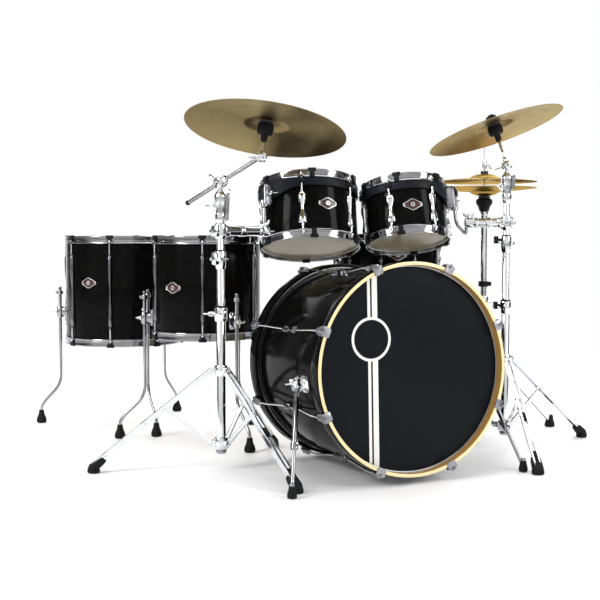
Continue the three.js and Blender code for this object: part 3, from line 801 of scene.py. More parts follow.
def bass_drum():
    drum_shell(
        "bass_drum", "kit_base", BASS, BASS_R, BASS_EDGE, 8, ("bass_shell",), sides=WIDE_SIDES, inset=4
    )
    inner, outer, depth = BASS_HOOP
    for name, out in (("front", -1), ("rear", 1)):
        near, far = sorted((out * BASS_HALF, out * (BASS_HALF - depth)))
        profile = ring_profile(inner, outer, near, far, 1.6)
        count = len(profile)
        slots = []
        for k in range(count):
            (r0, z0), (r1, z1) = profile[k], profile[(k + 1) % count]
            r, z = (r0 + r1) / 2, (z0 + z1) / 2
            face = abs(z - out * BASS_HALF) < 1.3 and inner + 0.3 < r < outer - 0.6
            wall = r <= inner + 0.9
            slots.append(1 if face else 2 if wall else 0)
        wood = [LACQUER, HOOP_EDGE, HOOP_INNER] if name == "front" else [LACQUER, LACQUER, LACQUER]
        Shape().lathe(profile, sides=200, slots=slots).finish(
            f"bass_{name}_wood_hoop", wood, "kit_base", BASS, crease=40, replaces=(f"bass_{name}_hoop",),
            slot="hoop_wood" if name == "front" else None,
        )
        z = out * BASS_EDGE
        skin = [
            (0, z + out * 2.0), (BASS_R * 0.6, z + out * 1.9), (BASS_R - 10, z + out * 1.6),
            (BASS_R - 2, z + out * 1.2), (BASS_R + 1.0, z - out * 1.5), (BASS_R + 1.4, z - out * 5)
        ]
        under = [(r, y - out * 0.4) for r, y in skin]
        Shape().lathe(skin + under[::-1], sides=WIDE_SIDES, closed=False).finish(
            f"bass_{name}_drumhead", FRONT_FILM if name == "front" else CLEAR, "kit_base", BASS,
            replaces=(f"bass_{name}_head",),
        )
        collar = rounded(
            [
                (BASS_R + 0.7, z + out * 1.2, 0), (BASS_R + 3.7, z + out * 1.2, 0),
                (BASS_R + 3.7, z - out * 13, 0), (BASS_R + 0.7, z - out * 13, 0)
            ],
            1.2, 2, closed=True
        )
        Shape().lathe([tuple(p)[:2] for p in collar], sides=WIDE_SIDES).finish(
            f"bass_{name}_flesh_hoop", ALUMINIUM, "kit_base", BASS, slot="aluminium"
        )
    claws, claw_bolts, rods, lugs = Shape(), Shape(), Shape(), Shape()
    for i in range(8):
        turn = spin(22.5 + 45 * i)
        cast_lug(lugs, BASS_R, 22.5 + 45 * i, 38, 0.46, 21, 17)
        for out in (-1, 1):
            hoop_claw(claws, claw_bolts, turn, out * BASS_HALF, out)
            x = BASS_HOOP[1] + 7.5
            rods.tube(
                [
                    (x, 0, out * 222), (x - 2, 0, out * 150), (BASS_R + 8, 0, out * 60),
                    (BASS_R + 8, 0, out * 38)
                ],
                3.0, turn, 12
            )
    claws.finish("bass_claw_hooks", CAST, "kit_base", BASS)
    claw_bolts.finish("bass_claw_bolts", DARK_STEEL, "kit_base", BASS, slot="black_nickel")
    rods.finish("bass_tension_rods", CHROME, "kit_base", BASS)
    lugs.finish("bass_lugs", NICKEL, "kit_base", BASS)
    inner_screws("bass", "kit_base", BASS, BASS_R, 8, 8, 22.5, (-22, 22))
    vent_badge("bass", "kit_base", BASS, BASS_R, angle=-90, z=-60)


def bass_spurs():
    for name in ("left", "right"):
        node = "bass_spur_" + name
        low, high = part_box(node)
        side = -1 if name == "left" else 1
        axis = Vector(joint_named(node + "_slide")["axis"])
        axis = axis if axis.z < 0 else -axis
        foot = Vector(((low[0] if side < 0 else high[0]) - side * 13 * MM, low[1] + 13 * MM, 0))
        top_z = high[2] - 7 * MM * math.sqrt(1 - axis.z ** 2)
        reach = (top_z - 15 * MM) / -axis.z
        top = foot + Vector((0, 0, 15 * MM)) - axis * reach
        place = frame_on(top, axis, (0, -1, 0))
        long = reach / MM
        leg = Shape()
        leg.turned(
            [
                (0, -17), (6.2, -17), (7, -15.4), (7, long * 0.6), (5.8, long * 0.6 + 1),
                (5, long * 0.6 + 4), (5, long + 4), (0, long + 4)
            ],
            28
        )
        leg.sleeve(
            [
                (7.0, long * 0.6 - 16), (10.4, long * 0.6 - 15), (10.8, long * 0.6 - 4),
                (9.4, long * 0.6 + 4), (5.1, long * 0.6 + 5), (5.1, long * 0.6 - 2), (7.0, long * 0.6 - 3)
            ],
            28
        )
        grip = Matrix.Translation((0, 0, long * 0.6 - 9)) @ OUTWARD
        wing_bolt(leg, grip @ shift(z=9), 12)
        leg.finish(node + "_leg", DARK_STEEL, node, place, replaces=(node,))
        sole = Shape()
        sole.turned(
            [
                (0, 0.3), (10.2, 0.3), (12, 1.6), (13, 7), (12.2, 12), (9.6, 24), (8.4, 31), (5.2, 33.5),
                (0, 33.5)
            ],
            32
        )
        for z in (5.5, 9.0, 12.5):
            sole.sleeve([(12.0, z - 0.9), (13.6 - (z - 5) * 0.08, z), (12.0, z + 0.9)], 32)
        sole.finish(node + "_rubber_foot", RUBBER, node, Matrix.Translation(foot))
        tip = Shape().turned([(0, 33), (6.8, 33), (7.2, 34), (6.6, 39), (5.1, 40.5), (5.1, 36), (0, 36)], 24)
        tip.finish(
            node + "_foot_collar", CAST, node,
            Matrix.Translation(foot) @ Matrix.Translation((0, 0, -2 * MM)), slot="chrome"
        )
        # swivel bracket on the shell
        in_drum = in_mm(BASS, top)
        angle = math.degrees(math.atan2(in_drum.y, in_drum.x))
        base = spin(angle) @ shift(x=BASS_R, z=in_drum.z)
        bracket, bolts = Shape(), Shape()
        flange = ((-0.5, 1.0), (1.5, 1.02), (3.5, 1.0), (5, 0.92), (9, 0.66), (16, 0.58))
        bracket.boss(flange, 24, 33, base, 3.4, 28)
        for y, z in ((15, 25), (-15, 25), (15, -25), (-15, -25)):
            bolts.turned(
                [(0, 4.2), (4.6, 4.2), (4.6, 6), (3.2, 8.4), (0, 9)], 16, base @ shift(y=y, z=z) @ OUTWARD
            )
        grip = Shape()
        grip.sleeve([(7.3, -15), (13, -15), (14, -13.5), (14, 13.5), (13, 15), (7.3, 15)], 32)
        grip.block((12, 22, 22), shift(x=12))
        wing_bolt(grip, SIDEWAYS @ shift(z=12), 17)
        bracket.finish(node + "_bracket", CHROME, "kit_base", BASS)
        bolts.finish(node + "_bracket_bolts", DARK_STEEL, "kit_base", BASS)
        grip.finish(node + "_clamp", CHROME, "kit_base", place)


bass_drum()
bass_spurs()


# ---------------------------------------------------------------- rack toms


def suspension_band(name, matrix, radius, top, lugs, first, angle, boxy):
    """Steel band round the shell with a wide plate at the bracket and a tab at each tension rod."""
    band = Shape().lathe(ring_profile(radius + 1.6, radius + 5.6, top - 27, top, 1.4))
    for low, high in ((top - 26.2, top - 24), (top - 3, top - 0.8)):
        band.lathe(
            [
                (radius + 5.4, low), (radius + 6.5, low + 0.5), (radius + 6.5, high - 0.5),
                (radius + 5.4, high)
            ]
        )
    rings = []
    for k in range(29):
        t = k / 28
        a = math.radians((t - 0.5) * 84)
        swell = math.sin(math.pi * t) ** 1.6
        up, down = top + 1 + 4 * swell, top - 26 - 30 * swell
        near, far = radius + 5, radius + 7.5 + 6.5 * swell
        section = rounded(
            [(near, up, 0), (far, up - 2, 0), (far, down + 2, 0), (near, down, 0)], 2.5, 2, closed=True
        )
        rings.append([Vector((p.x * math.cos(a), p.x * math.sin(a), p.y)) for p in section])
    band.loft(rings, spin(angle))
    for turn in around(lugs, first):
        tab = rounded(
            [(radius + 3, -12, 0), (radius + 16, -7, 0), (radius + 16, 7, 0), (radius + 3, 12, 0)], 4, 3,
            closed=True
        )
        band.slab(tab, (top - 15, top - 14.4, top - 9.6, top - 9), turn)
    low = top - (38 if boxy else 60)
    hook = [
        (radius + 9, 0, top - 7), (radius + 27, 0, top - 6), (radius + 39, 0, top - 12),
        (radius + 42, 0, top - 24), (radius + 41, 0, low)
    ]
    band.tube(rounded(hook, 8, 4), 10, spin(angle), 24, flat=0.3, side=(0, 1, 0))
    band.finish(name + "_suspension_band", SATIN, name, matrix, replaces=(name + "_mount",))


def band_grommets(name, matrix, radius, top, lugs, first):
    grommets = Shape()
    bush = [(2.8, -8), (6, -8), (6.8, -6.6), (6.2, -2), (5, 0), (6.2, 2), (6.8, 6.6), (6, 8), (2.8, 8)]
    for turn in around(lugs, first):
        grommets.sleeve(bush, 20, turn @ shift(x=radius + 9.5, z=top - 12))
    grommets.finish(name + "_band_grommets", RUBBER, name, matrix)


def mount_bracket(name, matrix, radius, top, angle, boxy):
    """Cast clamp on the band that grips the bent rod, with its bolts."""
    bracket = Shape()
    seat = spin(angle) @ shift(x=radius + 22, z=top - 44)
    wide, tall = (20, 34) if boxy else (17, 33)
    rings = []
    for z, k in (
        (-1, 0.72), (-0.96, 0.88), (-0.84, 0.97), (-0.4, 1), (0.4, 1), (0.84, 0.97), (0.95, 0.86), (1, 0.66)
    ):
        rings.append(
            [
                Vector((v.x, v.y, z * tall))
                for v in oval_ring(15.5 * k, wide * k, 0, 5.5 if boxy else 3.2, 32)
            ]
        )
    bracket.loft(rings, seat)
    for z in (-20, 0, 20):
        bracket.block((3, wide * 2 + 2, 4), seat @ shift(x=-9, z=z))
    for y in (-1, 1):
        bracket.block((20, 3.2, tall * 1.5), seat @ shift(x=2, y=y * (wide - 0.6)), corner=0.5)
    bracket.sleeve([(5.2, -35), (9.4, -35), (10, -33), (10, 33), (9.4, 35), (5.2, 35)], 28, seat @ shift(x=8))
    bracket.finish(name + "_bracket", CAST, name, matrix)
    bolts = Shape()
    for z in (-20, 20):
        bolts.turned(
            [(0, 15), (5.4, 15), (5.8, 16), (5.4, 18.6), (3, 20), (0, 20)], 6, seat @ shift(z=z) @ OUTWARD
        )
    sideways = seat @ SIDEWAYS @ shift(x=6)
    bolts.rod((0, 0, wide - 4), (0, 0, wide + 17), 3.6, sideways)
    if boxy:
        bolts.tube([(x, 0, wide + 18) for x in (-15, -9, 0, 9, 15)], [2.4, 3.6, 4.6, 3.6, 2.4], sideways, 14)
    else:
        wing_bolt(bolts, sideways @ shift(z=wide + 11), 18)
    bolts.finish(name + "_bracket_bolts", CHROME, name, matrix)


def bent_rod(name, matrix, radius, edge, angle, end, drop):
    """Rod that goes down beside the shell and across to the end of its stand's bar."""
    reach = radius + 30
    stem = [at_angle(angle, reach, edge - 20), at_angle(angle, reach, 30 - edge)]
    if drop:
        tail = [in_mm(matrix, end - Vector((0, 0, drop * MM))), in_mm(matrix, end - Vector((0, 0, 13 * MM)))]
    else:
        tail = [in_mm(matrix, end)]
    path = rounded(stem + tail, 20, 7)
    rod = Shape().tube(path, 5, None, 22)
    lock = Matrix.Translation(at_angle(angle, reach, edge - 90))
    rod.sleeve([(5, -6), (10, -6), (10.6, -5), (10.6, 5), (10, 6), (5, 6)], 28, lock)
    rod.block((7, 9, 9), lock @ spin(angle + 90) @ shift(x=12))
    rod.finish(name + "_bent_rod", DARK_STEEL, name, matrix)


def rack_tom(name, radius, edge, first, angle, drop, boxy):
    matrix = between(name + "_bottom", name + "_top")
    drum_shell(name, name, matrix, radius, edge, 7, (name + "_shell",))
    lugs = Shape()
    half, low = edge * 0.52, edge * 0.17
    for i in range(6):
        cast_lug(lugs, radius, first + 60 * i, half, 0.42, 26, 14.4 if boxy else 17)
    lugs.finish(name + "_lugs", CHROME, name, matrix @ Matrix.Translation((0, 0, -low * MM)))
    halves = (half - low - 3, half + low - 3)
    both_ends(
        name, name, matrix, radius, edge, 6, first, 12, halves, 9, ((name + "_top",), (name + "_bottom",))
    )
    inner_screws(name, name, matrix, radius, 7, 6, first, (-36, 12))
    band_top = edge - 13
    suspension_band(name, matrix, radius, band_top, 6, first, angle, boxy)
    band_grommets(name, matrix, radius, band_top, 6, first)
    mount_bracket(name, matrix, radius, band_top, angle, boxy)
    bent_rod(name, matrix, radius, edge, angle, bar_end(name), drop)
    return matrix


def bar_end(body):
    """Far end of the bar that carries a rack tom, read from the tilt joint."""
    return Vector(joint_named(body + "_tilt")["pos_m"])


TOM_12 = rack_tom("rack_tom_12", radius=152, edge=95, first=237.5, angle=196, drop=0, boxy=False)
TOM_10 = rack_tom("rack_tom_10", radius=127, edge=84.5, first=219.4, angle=316, drop=38, boxy=True)
vent_badge("rack_tom_12", "rack_tom_12", TOM_12, radius=152, angle=267, z=0)
vent_badge("rack_tom_10", "rack_tom_10", TOM_10, radius=127, angle=250, z=-6)

# ---------------------------------------------------------------- floor toms


def leg_clamp(shape, bolts, turn, radius, z, stand_off):
    """Cast bracket that grips a floor tom's leg, with its tee-handled bolt."""
    place = turn @ shift(x=radius, z=z)
    rings = []
    for x, k in ((-0.5, 1.0), (2, 1.02), (4, 0.96), (7, 0.7), (13, 0.5), (stand_off - 8, 0.46)):
        rings.append([Vector((x, v.x, v.y)) for v in oval_ring(13.5 * (0.55 + 0.45 * k), 29 * k, 0)])
    shape.loft(rings, place)
    post = place @ shift(x=stand_off)
    shape.sleeve([(6.1, -19), (10.6, -19), (11.6, -17.6), (11.6, 17.6), (10.6, 19), (6.1, 19)], 28, post)
    bolts.rod((0, 0, 9), (0, 0, 25), 3.8, post @ OUTWARD)
    bolts.sleeve([(3.8, 11), (7, 11), (7.4, 12), (7.4, 15), (6.4, 16), (3.8, 16)], 20, post @ OUTWARD)
    handle = [(24, -17, -2), (25.5, -9, -0.5), (26, 0, 0), (25.5, 9, 0.5), (24, 17, 2)]
    bolts.tube(handle, [2.6, 4.2, 4.8, 4.2, 2.6], post, 14, side=(1, 0, 0))
    for up in (-22, 22):
        bolts.turned([(0, 3), (4.4, 3), (4.4, 5), (3, 7), (0, 7.4)], 16, place @ shift(z=up) @ OUTWARD)


def floor_tom(name, radius, lugs, first, first_leg, foot_radius):
    matrix = between(name + "_bottom", name + "_top")
    low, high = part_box(name + "_shell")
    edge = (high[2] - low[2]) / 2 / MM
    middle = matrix.translation.z / MM
    drum_shell(name, "kit_base", matrix, radius, edge, 7, (name + "_shell",))
    half = edge * 0.7
    casting, bolts, clamps = Shape(), Shape(), Shape()
    for i in range(lugs):
        cast_lug(casting, radius, first + i * 360 / lugs, half, 0.55, 14, 14)
    casting.finish(name + "_lugs", NICKEL, "kit_base", matrix)
    ends = ((name + "_top",), (name + "_bottom",))
    both_ends(name, "kit_base", matrix, radius, edge, lugs, first, 0, (half, half), 7.5, ends)
    inner_screws(name, "kit_base", matrix, radius, 7, lugs, first, (-half * 0.8, half * 0.8))
    for i in range(3):
        angle = first_leg + 120 * i
        leg_clamp(clamps, bolts, spin(angle), radius, 402 - middle, 28)
        post = radius + 28
        leg = f"{name}_leg_{i + 1}"
        ground = Matrix.Translation((matrix.translation.x, matrix.translation.y, 0)) @ spin(angle)
        path = rounded([(post, 0, 490), (post, 0, 142), (foot_radius, 0, 63), (foot_radius, 0, 20)], 34, 8)
        steel = Shape().tube(path, 5.5, None, 22)
        steel.turned([(0, 488), (4.6, 488), (5.5, 489), (4.4, 491.5), (0, 492)], 20, shift(x=post))
        for z in range(424, 460, 6):
            steel.sleeve([(5.4, z), (5.95, z + 1), (5.95, z + 3), (5.4, z + 4)], 20, shift(x=post))
        lock = shift(x=post, z=471)
        steel.sleeve([(5.5, -6), (10, -6), (10.6, -5), (10.6, 5), (10, 6), (5.5, 6)], 28, lock)
        steel.block((8, 8, 9), lock @ shift(x=11))
        steel.finish(leg + "_rod", DARK_STEEL, leg, ground, replaces=(leg,), slot="black_nickel")
        foot = Shape()
        bulb = [
            (0, 0.2), (13.5, 0.2), (16.5, 2), (18, 7), (17.6, 13), (15.2, 20), (11.4, 29), (9.6, 37),
            (9.2, 44), (8, 46), (5.4, 46.4), (0, 46.4)
        ]
        foot.turned(bulb, 36, shift(x=foot_radius))
        for z in (31, 35, 39):
            foot.sleeve([(9, z - 0.8), (11.2 - (z - 31) * 0.13, z), (9, z + 0.8)], 36, shift(x=foot_radius))
        foot.finish(leg + "_rubber_foot", RUBBER, leg, ground)
    clamps.finish(name + "_leg_brackets", DARK_STEEL, "kit_base", matrix, slot="black_nickel")
    bolts.finish(name + "_leg_bolts", CHROME, "kit_base", matrix)
    return matrix


TOM_14 = floor_tom("floor_tom_14", radius=178, lugs=6, first=246, first_leg=37, foot_radius=290)
TOM_16 = floor_tom("floor_tom_16", radius=203, lugs=8, first=196, first_leg=34, foot_radius=304)
vent_badge("floor_tom_14", "kit_base", TOM_14, radius=178, angle=213, z=2)
vent_badge("floor_tom_16", "kit_base", TOM_16, radius=203, angle=218, z=29)


# ---------------------------------------------------------------- stands

# The folding tripod in millimetres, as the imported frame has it: pin circle and height of the lower hub,
# length of a brace (and of the leg above it), length of the leg below, and their lean from the upright.
HUB_R, HUB_Z, LINK, SHANK, LEAN = 30.0, 78.0, 168.0, 258.0, math.radians(51.5)
COLLAR_Z = HUB_Z + 2 * LINK * math.cos(LEAN)
PIVOT_SHARE = LINK / (LINK + SHANK)
PIVOT = Vector((HUB_R + LINK * math.sin(LEAN), 0, HUB_Z + LINK * math.cos(LEAN)))
TIP = Vector((HUB_R + (LINK + SHANK) * math.sin(LEAN), 0, COLLAR_Z - (LINK + SHANK) * math.cos(LEAN)))


def strap(shape, a, b, half_deep, half_thick, y, matrix):
    """A flat pressed bar with round ends between two points in the XZ plane, offset to y."""
    a, b = Vector(a), Vector(b)
    along = (b - a).normalized()
    across = BEAM.cross(along)
    outline = []
    for centre, start in ((b, -90), (a, 90)):
        for k in range(9):
            t = math.radians(start + 180 * k / 8)
            outline.append(centre + half_deep * (along * math.cos(t) + across * math.sin(t)))
    rings = []
    middle = (a + b) / 2
    for depth, inset in (
        (-half_thick, 0.6), (-half_thick + 0.5, 0), (half_thick - 0.5, 0), (half_thick, 0.6)
    ):
        ring = [p - (p - middle).normalized() * inset for p in outline]
        rings.append([Vector((q.x, y + depth, q.z)) for q in ring])
    shape.loft(rings, matrix)


def rivet(shape, at, half, radius, matrix):
    """A domed rivet through a joint, along Y."""
    neck = radius * 0.6
    head = [(neck, half), (radius, half + 0.2), (neck, half + 1.8), (0, half + 2.2)]
    dome = [(r, -z) for r, z in reversed(head)] + head
    shape.turned(dome, 18, matrix @ Matrix.Translation(Vector(at)) @ SIDEWAYS)


def leg_sleeve(shape, top, tip, share, half_long, size, turn):
    """A rubber block between a leg's plates, some way down from its top."""
    along = (tip - top).normalized()
    normal = BEAM.cross(along)
    centre = top.lerp(tip, share)
    rings = []
    for d, k in ((-half_long, 0.8), (2 - half_long, 1), (half_long - 2, 1), (half_long, 0.8)):
        section = oval_ring(size[0] * k, size[1] * k, 0, 3.4, 20)
        rings.append([centre + along * d + BEAM * v.x + normal * v.y for v in section])
    shape.loft(rings, turn)


def shoe(shape, upper, rib, place):
    """Ribbed rubber sole that ends upwards in its own profile."""
    shape.turned([(0, 0.2), (15, 0.2), (17.6, 2), (18, 6), (17, 12)] + upper, 36, place)
    for z in (6, 10, 14):
        shape.sleeve([(17, z - 1), (rib - (z - 6) * 0.14, z), (16, z + 1)], 36, place)


def stand_foot(shape, at_x, turn):
    """Large ribbed rubber shoe with its upper socket leaning up the leg."""
    shoe(shape, [(14.4, 19), (12, 25), (0, 27)], 18.6, turn @ shift(x=at_x))
    up = Vector((-math.sin(LEAN), 0, math.cos(LEAN)))
    start = Vector((at_x + 2, 0, 14))
    rings = []
    for d, wide, tall in (
        (0, 15, 13), (12, 15.5, 13), (24, 15, 12), (34, 14.2, 11), (40, 13, 9.5), (42, 11, 8)
    ):
        centre = start + up * d
        normal = up.cross(BEAM)
        rings.append(
            [centre + BEAM * v.x * wide / 10 + normal * v.y * tall / 10 for v in oval_ring(10, 10, 0, 3.4)]
        )
    shape.loft(rings, turn)


def square_knob(shape, z):
    """A square-headed clamp knob standing clear of a tube on a short neck."""
    out = spin(158) @ shift(x=22, z=z)
    shape.rod((-8, 0, 0), (5, 0, 0), 4, out)
    shape.boss(((4, 0.9), (5, 1), (14, 1), (15.4, 0.86)), 9, 11.5, out, 6)


def lower_tube(name, place, first):
    """Base tube with the hub that carries the braces, and the cap under it."""
    base = Shape()
    tube = [(0, 46), (12.2, 46), (13.6, 47.5), (13.6, 452), (12.2, 454), (12.2, 112), (0, 112)]
    base.turned(tube, 40)
    base.finish(name + "_lower_tube", CHROME, "kit_base", place, replaces=(name + "_base",))
    hub, foot_cap = Shape(), Shape()
    hub.sleeve([(13.7, 58), (19, 60), (21, 64), (21, 90), (19, 94), (13.7, 96)], 40)
    foot_cap.turned([(0, 47), (11, 47), (14, 48.6), (15, 51), (15, 57), (13.8, 59), (0, 59)], 36)
    for turn in around(3, first):
        for y in (-1, 1):
            strap(hub, (14, 0, HUB_Z), (HUB_R, 0, HUB_Z), 8.5, 1.6, y * 6.6, turn)
        rivet(hub, (HUB_R, 0, HUB_Z), 8.4, 4.2, turn)
    hub.finish(name + "_lower_hub", CHROME, "kit_base", place)
    foot_cap.finish(name + "_tube_end_cap", DARK_STEEL, "kit_base", place)


def height_clamp(name, place, first, knobs):
    """Split clamp and nylon insert at the top of the base tube."""
    clamp = Shape()
    clamp.sleeve(
        [
            (13.7, 428), (16.6, 430), (18.2, 434), (18.2, 463), (17, 468), (12.2, 470), (12.2, 462),
            (13.5, 460)
        ],
        44
    )
    clamp.block((20, 18, 36), spin(first + 50) @ shift(x=21, z=449), corner=0.5)
    clamp.block((13, 15, 24), spin(first + 230) @ shift(x=18.5, z=449), corner=0.5)
    grip = spin(first + 50) @ shift(x=23, z=449) @ SIDEWAYS
    clamp.rod((0, 0, -16), (0, 0, 18), 4, grip)
    clamp.turned([(0, -19), (6.5, -19), (7, -17), (7, -14), (0, -13)], 6, grip)
    wing_bolt(clamp, grip @ shift(z=14), 22)
    clamp.finish(name + "_height_clamp", CHROME, "kit_base", place)
    insert = Shape().sleeve([(11.5, 466), (15.4, 469.4), (15.2, 472.4), (13, 474), (11.5, 474)], 36)
    if knobs:
        square_knob(insert, 456)
    insert.finish(name + "_nylon_insert", RUBBER, "kit_base", place)


def sliding_collar(name, place, first):
    collar = Shape()
    body = name + "_collar"
    z = COLLAR_Z
    collar.sleeve(
        [
            (14.0, z - 15), (18.4, z - 14.5), (19.8, z - 12), (19.8, z + 12), (18.4, z + 14.5),
            (14.0, z + 15)
        ],
        44
    )
    for turn in around(3, first):
        collar.block((17, 11, 21), turn @ shift(x=22, z=z), corner=0.5)
        rivet(collar, (HUB_R, 0, z), 12.5, 4.4, turn)
    bolt = spin(first + 60) @ shift(x=17, z=z) @ OUTWARD
    collar.turned([(0, 0), (8, 0), (8, 7), (6.6, 9), (0, 9)], 24, bolt)
    wing_bolt(collar, bolt @ shift(z=7) @ spin(90), 17)
    collar.finish(name + "_sliding_collar", CHROME, body, place, replaces=(body,))


def tripod_leg(name, place, index, turn):
    """One double-plate leg with its rubber shoe, and the brace that spreads it."""
    top = Vector((HUB_R, 0, COLLAR_Z))
    leg_body, brace_body = f"{name}_leg_{index}", f"{name}_brace_{index}"
    leg = Shape()
    for y in (-8.5, 8.5):
        strap(leg, top, TIP, 7, 1.5, y, turn)
        inner = 1 if y < 0 else -1
        for edge in (-1, 1):
            lift = Vector((math.cos(LEAN), 0, math.sin(LEAN))) * edge * 6.2
            strap(leg, top + lift, TIP + lift, 1.1, 1.9, y + inner * 1.2, turn)
    for t in (0.0, PIVOT_SHARE, 0.56, 0.9):
        rivet(leg, top.lerp(TIP, t), 10.2, 4.0 if t in (0.0, PIVOT_SHARE) else 3.0, turn)
    leg.finish(leg_body + "_plates", CHROME, leg_body, place, replaces=(leg_body,))
    rubbers = Shape()
    for t, half_long in ((0.56, 13), (0.9, 10)):
        leg_sleeve(rubbers, top, TIP, t, half_long, (6.4, 8.4), turn)
    stand_foot(rubbers, TIP.x, turn)
    rubbers.finish(leg_body + "_rubber_foot", RUBBER, leg_body, place)
    brace = Shape()
    strap(brace, (HUB_R, 0, HUB_Z), PIVOT, 6.2, 2.0, 0, turn)
    for edge in (-1, 1):
        lift = Vector((-math.cos(LEAN), 0, math.sin(LEAN))) * edge * 5.2
        strap(brace, Vector((HUB_R, 0, HUB_Z)) + lift, PIVOT + lift, 0.9, 3.4, 0, turn)
    brace.finish(brace_body + "_bar", CHROME, brace_body, place, replaces=(brace_body,))


def tripod(name, first, knobs):
    place = standing_at(name + "_base")
    lower_tube(name, place, first)
    height_clamp(name, place, first, knobs)
    sliding_collar(name, place, first)
    for index, turn in enumerate(around(3, first), 1):
        tripod_leg(name, place, index, turn)


def mast(body, place, reducer, top, lever, knobs):
    """Telescoping tubes above the tripod with their reducer clamp."""
    tube = Shape()
    tube.turned(
        [
            (0, 250), (11.4, 250), (11.4, reducer - 14), (10.2, reducer - 12), (10.2, top - 30),
            (0, top - 30)
        ],
        40
    )
    tube.finish(body + "_tubes", CHROME, body, place, replaces=(body,))
    clamp = Shape()
    clamp.sleeve(
        [
            (11.5, reducer - 34), (13.4, reducer - 33), (15.4, reducer - 20), (16.4, reducer - 6),
            (16.4, reducer + 13), (15, reducer + 17), (10.6, reducer + 18)
        ],
        40
    )
    clamp.block((20, 17, 36), spin(lever) @ shift(x=18, z=reducer - 4), corner=0.5)
    grip = spin(lever) @ shift(x=21, z=reducer - 4) @ SIDEWAYS
    clamp.rod((0, 0, -15), (0, 0, 17), 3.8, grip)
    clamp.turned([(0, -17), (5.8, -17), (6.2, -15), (6.2, -12), (0, -11)], 6, grip)
    wing_bolt(clamp, grip @ shift(z=13), 22)
    clamp.finish(body + "_reducer_clamp", CHROME, body, place)
    dark = Shape()
    dark.sleeve(
        [(10.4, reducer + 15), (13.4, reducer + 17.6), (13, reducer + 20.6), (10.4, reducer + 21.4)], 32
    )
    if knobs:
        square_knob(dark, reducer + 6)
    dark.finish(body + "_insert_ring", RUBBER, body, place)


def tom_bar(body, place, tom, bar_z):
    """Bar from a mast to its rack tom, with the clamps at both ends."""
    end = in_mm(place, bar_end(tom))
    run = Vector((end.x, end.y, 0))
    heading = math.degrees(math.atan2(run.y, run.x))
    aim = spin(heading) @ shift(z=bar_z)
    bar = Shape()
    long = run.length
    barrel = [(0, 13), (13, 13), (14.6, 14.6), (14.6, long - 20), (13, long - 18), (0, long - 18)]
    bar.turned(barrel, 40, aim @ OUTWARD)
    for x in (long * 0.42, long * 0.47, long - 30):
        bar.sleeve(
            [(14.7, x - 6), (16.2, x - 5), (16.6, x - 3), (16.6, x + 3), (16.2, x + 5), (14.7, x + 6)], 40,
            aim @ OUTWARD
        )
    bar.finish(body + "_tom_bar", CHROME, body, place)
    joint = Shape()
    joint.sleeve(
        [(10.3, -22), (15, -22), (17.4, -18), (18, -8), (18, 8), (17.4, 18), (15, 22), (10.3, 22)], 40,
        shift(z=bar_z)
    )
    joint.block((30, 30, 34), aim @ shift(x=15), corner=0.5)
    joint.block((16, 25, 33), aim @ shift(x=-18), corner=0.5)
    for y in (-1, 1):
        joint.rod((-18, y * 9, 0), (-29, y * 9, 0), 3, aim)
        joint.turned([(0, 25), (5, 25), (5.4, 26), (5, 29), (0, 29.6)], 6, aim @ shift(y=y * 9) @ INWARD)
    wing_bolt(joint, aim @ shift(x=12, y=15) @ SIDEWAYS, 20)
    nose = ((long - 24, 0.85), (long - 21, 1.0), (long - 6, 1.0), (long + 2, 0.92), (long + 6, 0.7))
    joint.boss(nose, 14, 16.5, aim, 3.0, 28)
    wing_bolt(joint, aim @ shift(x=long - 9, z=14), 18)
    wing_bolt(joint, aim @ shift(x=long - 11, y=-12.5) @ Matrix.Rotation(math.pi / 2, 4, "X"), 16)
    joint.finish(body + "_bar_clamps", CHROME, body, place)


def mast_head(name, pivot, bolt_side, reach):
    """Flared casting at the top of a mast, with its clamp bolt and a dark lever beside it."""
    place = Matrix.Translation(pivot)
    head = Shape()
    casting = [
        (0, -118), (12.6, -118), (13.6, -116), (13.6, -78), (15.4, -60), (18.4, -42), (18.4, -38),
        (14.5, -29.5), (9, -23.5), (5.5, -17.2), (0, -15.8)
    ]
    head.turned(casting, 44)
    head.sleeve([(13.5, -106), (15.4, -105), (15.8, -102), (15.8, -92), (15.4, -89), (13.5, -88)], 44)
    head.block((13, 15, 26), spin(bolt_side) @ shift(x=16, z=-66), corner=0.5)
    grip = spin(bolt_side) @ shift(x=19, z=-66) @ SIDEWAYS
    head.rod((0, 0, -13), (0, 0, 15), 3.4, grip)
    wing_bolt(head, grip @ shift(z=11), 18)
    head.finish(name + "_head", CHROME, name + "_mast", place)
    lever = Shape()
    rings = []
    for t, out, deep, wide in (
        (1, 18, 4, 6), (0.97, 18.2, 5.4, 7.4), (0.55, 19.2, 6, 7.8), (0.18, 21, 6, 7.4),
        (0.03, 22.6, 5, 6.4), (0, 22.8, 3.6, 5)
    ):
        rings.append([Vector((out + v.x, v.y, -30 - reach * t)) for v in oval_ring(deep, wide, 0, 3.4, 20)])
    lever.loft(rings, spin(bolt_side + 180))
    lever.finish(name + "_head_lever", DARK_STEEL, name + "_mast", place)


tripod("left_stand", first=42, knobs=False)
tripod("right_stand", first=9.5, knobs=True)
LEFT_STAND, RIGHT_STAND = standing_at("left_stand_base"), standing_at("right_stand_base")
mast("left_stand_mast", LEFT_STAND, reducer=612, top=811, lever=200, knobs=False)
tom_bar("left_stand_mast", LEFT_STAND, "rack_tom_12", bar_z=687)
mast("right_stand_mast", RIGHT_STAND, reducer=655, top=880, lever=30, knobs=True)
tom_bar("right_stand_mast", RIGHT_STAND, "rack_tom_10", bar_z=714)


# ---------------------------------------------------------------- cymbals


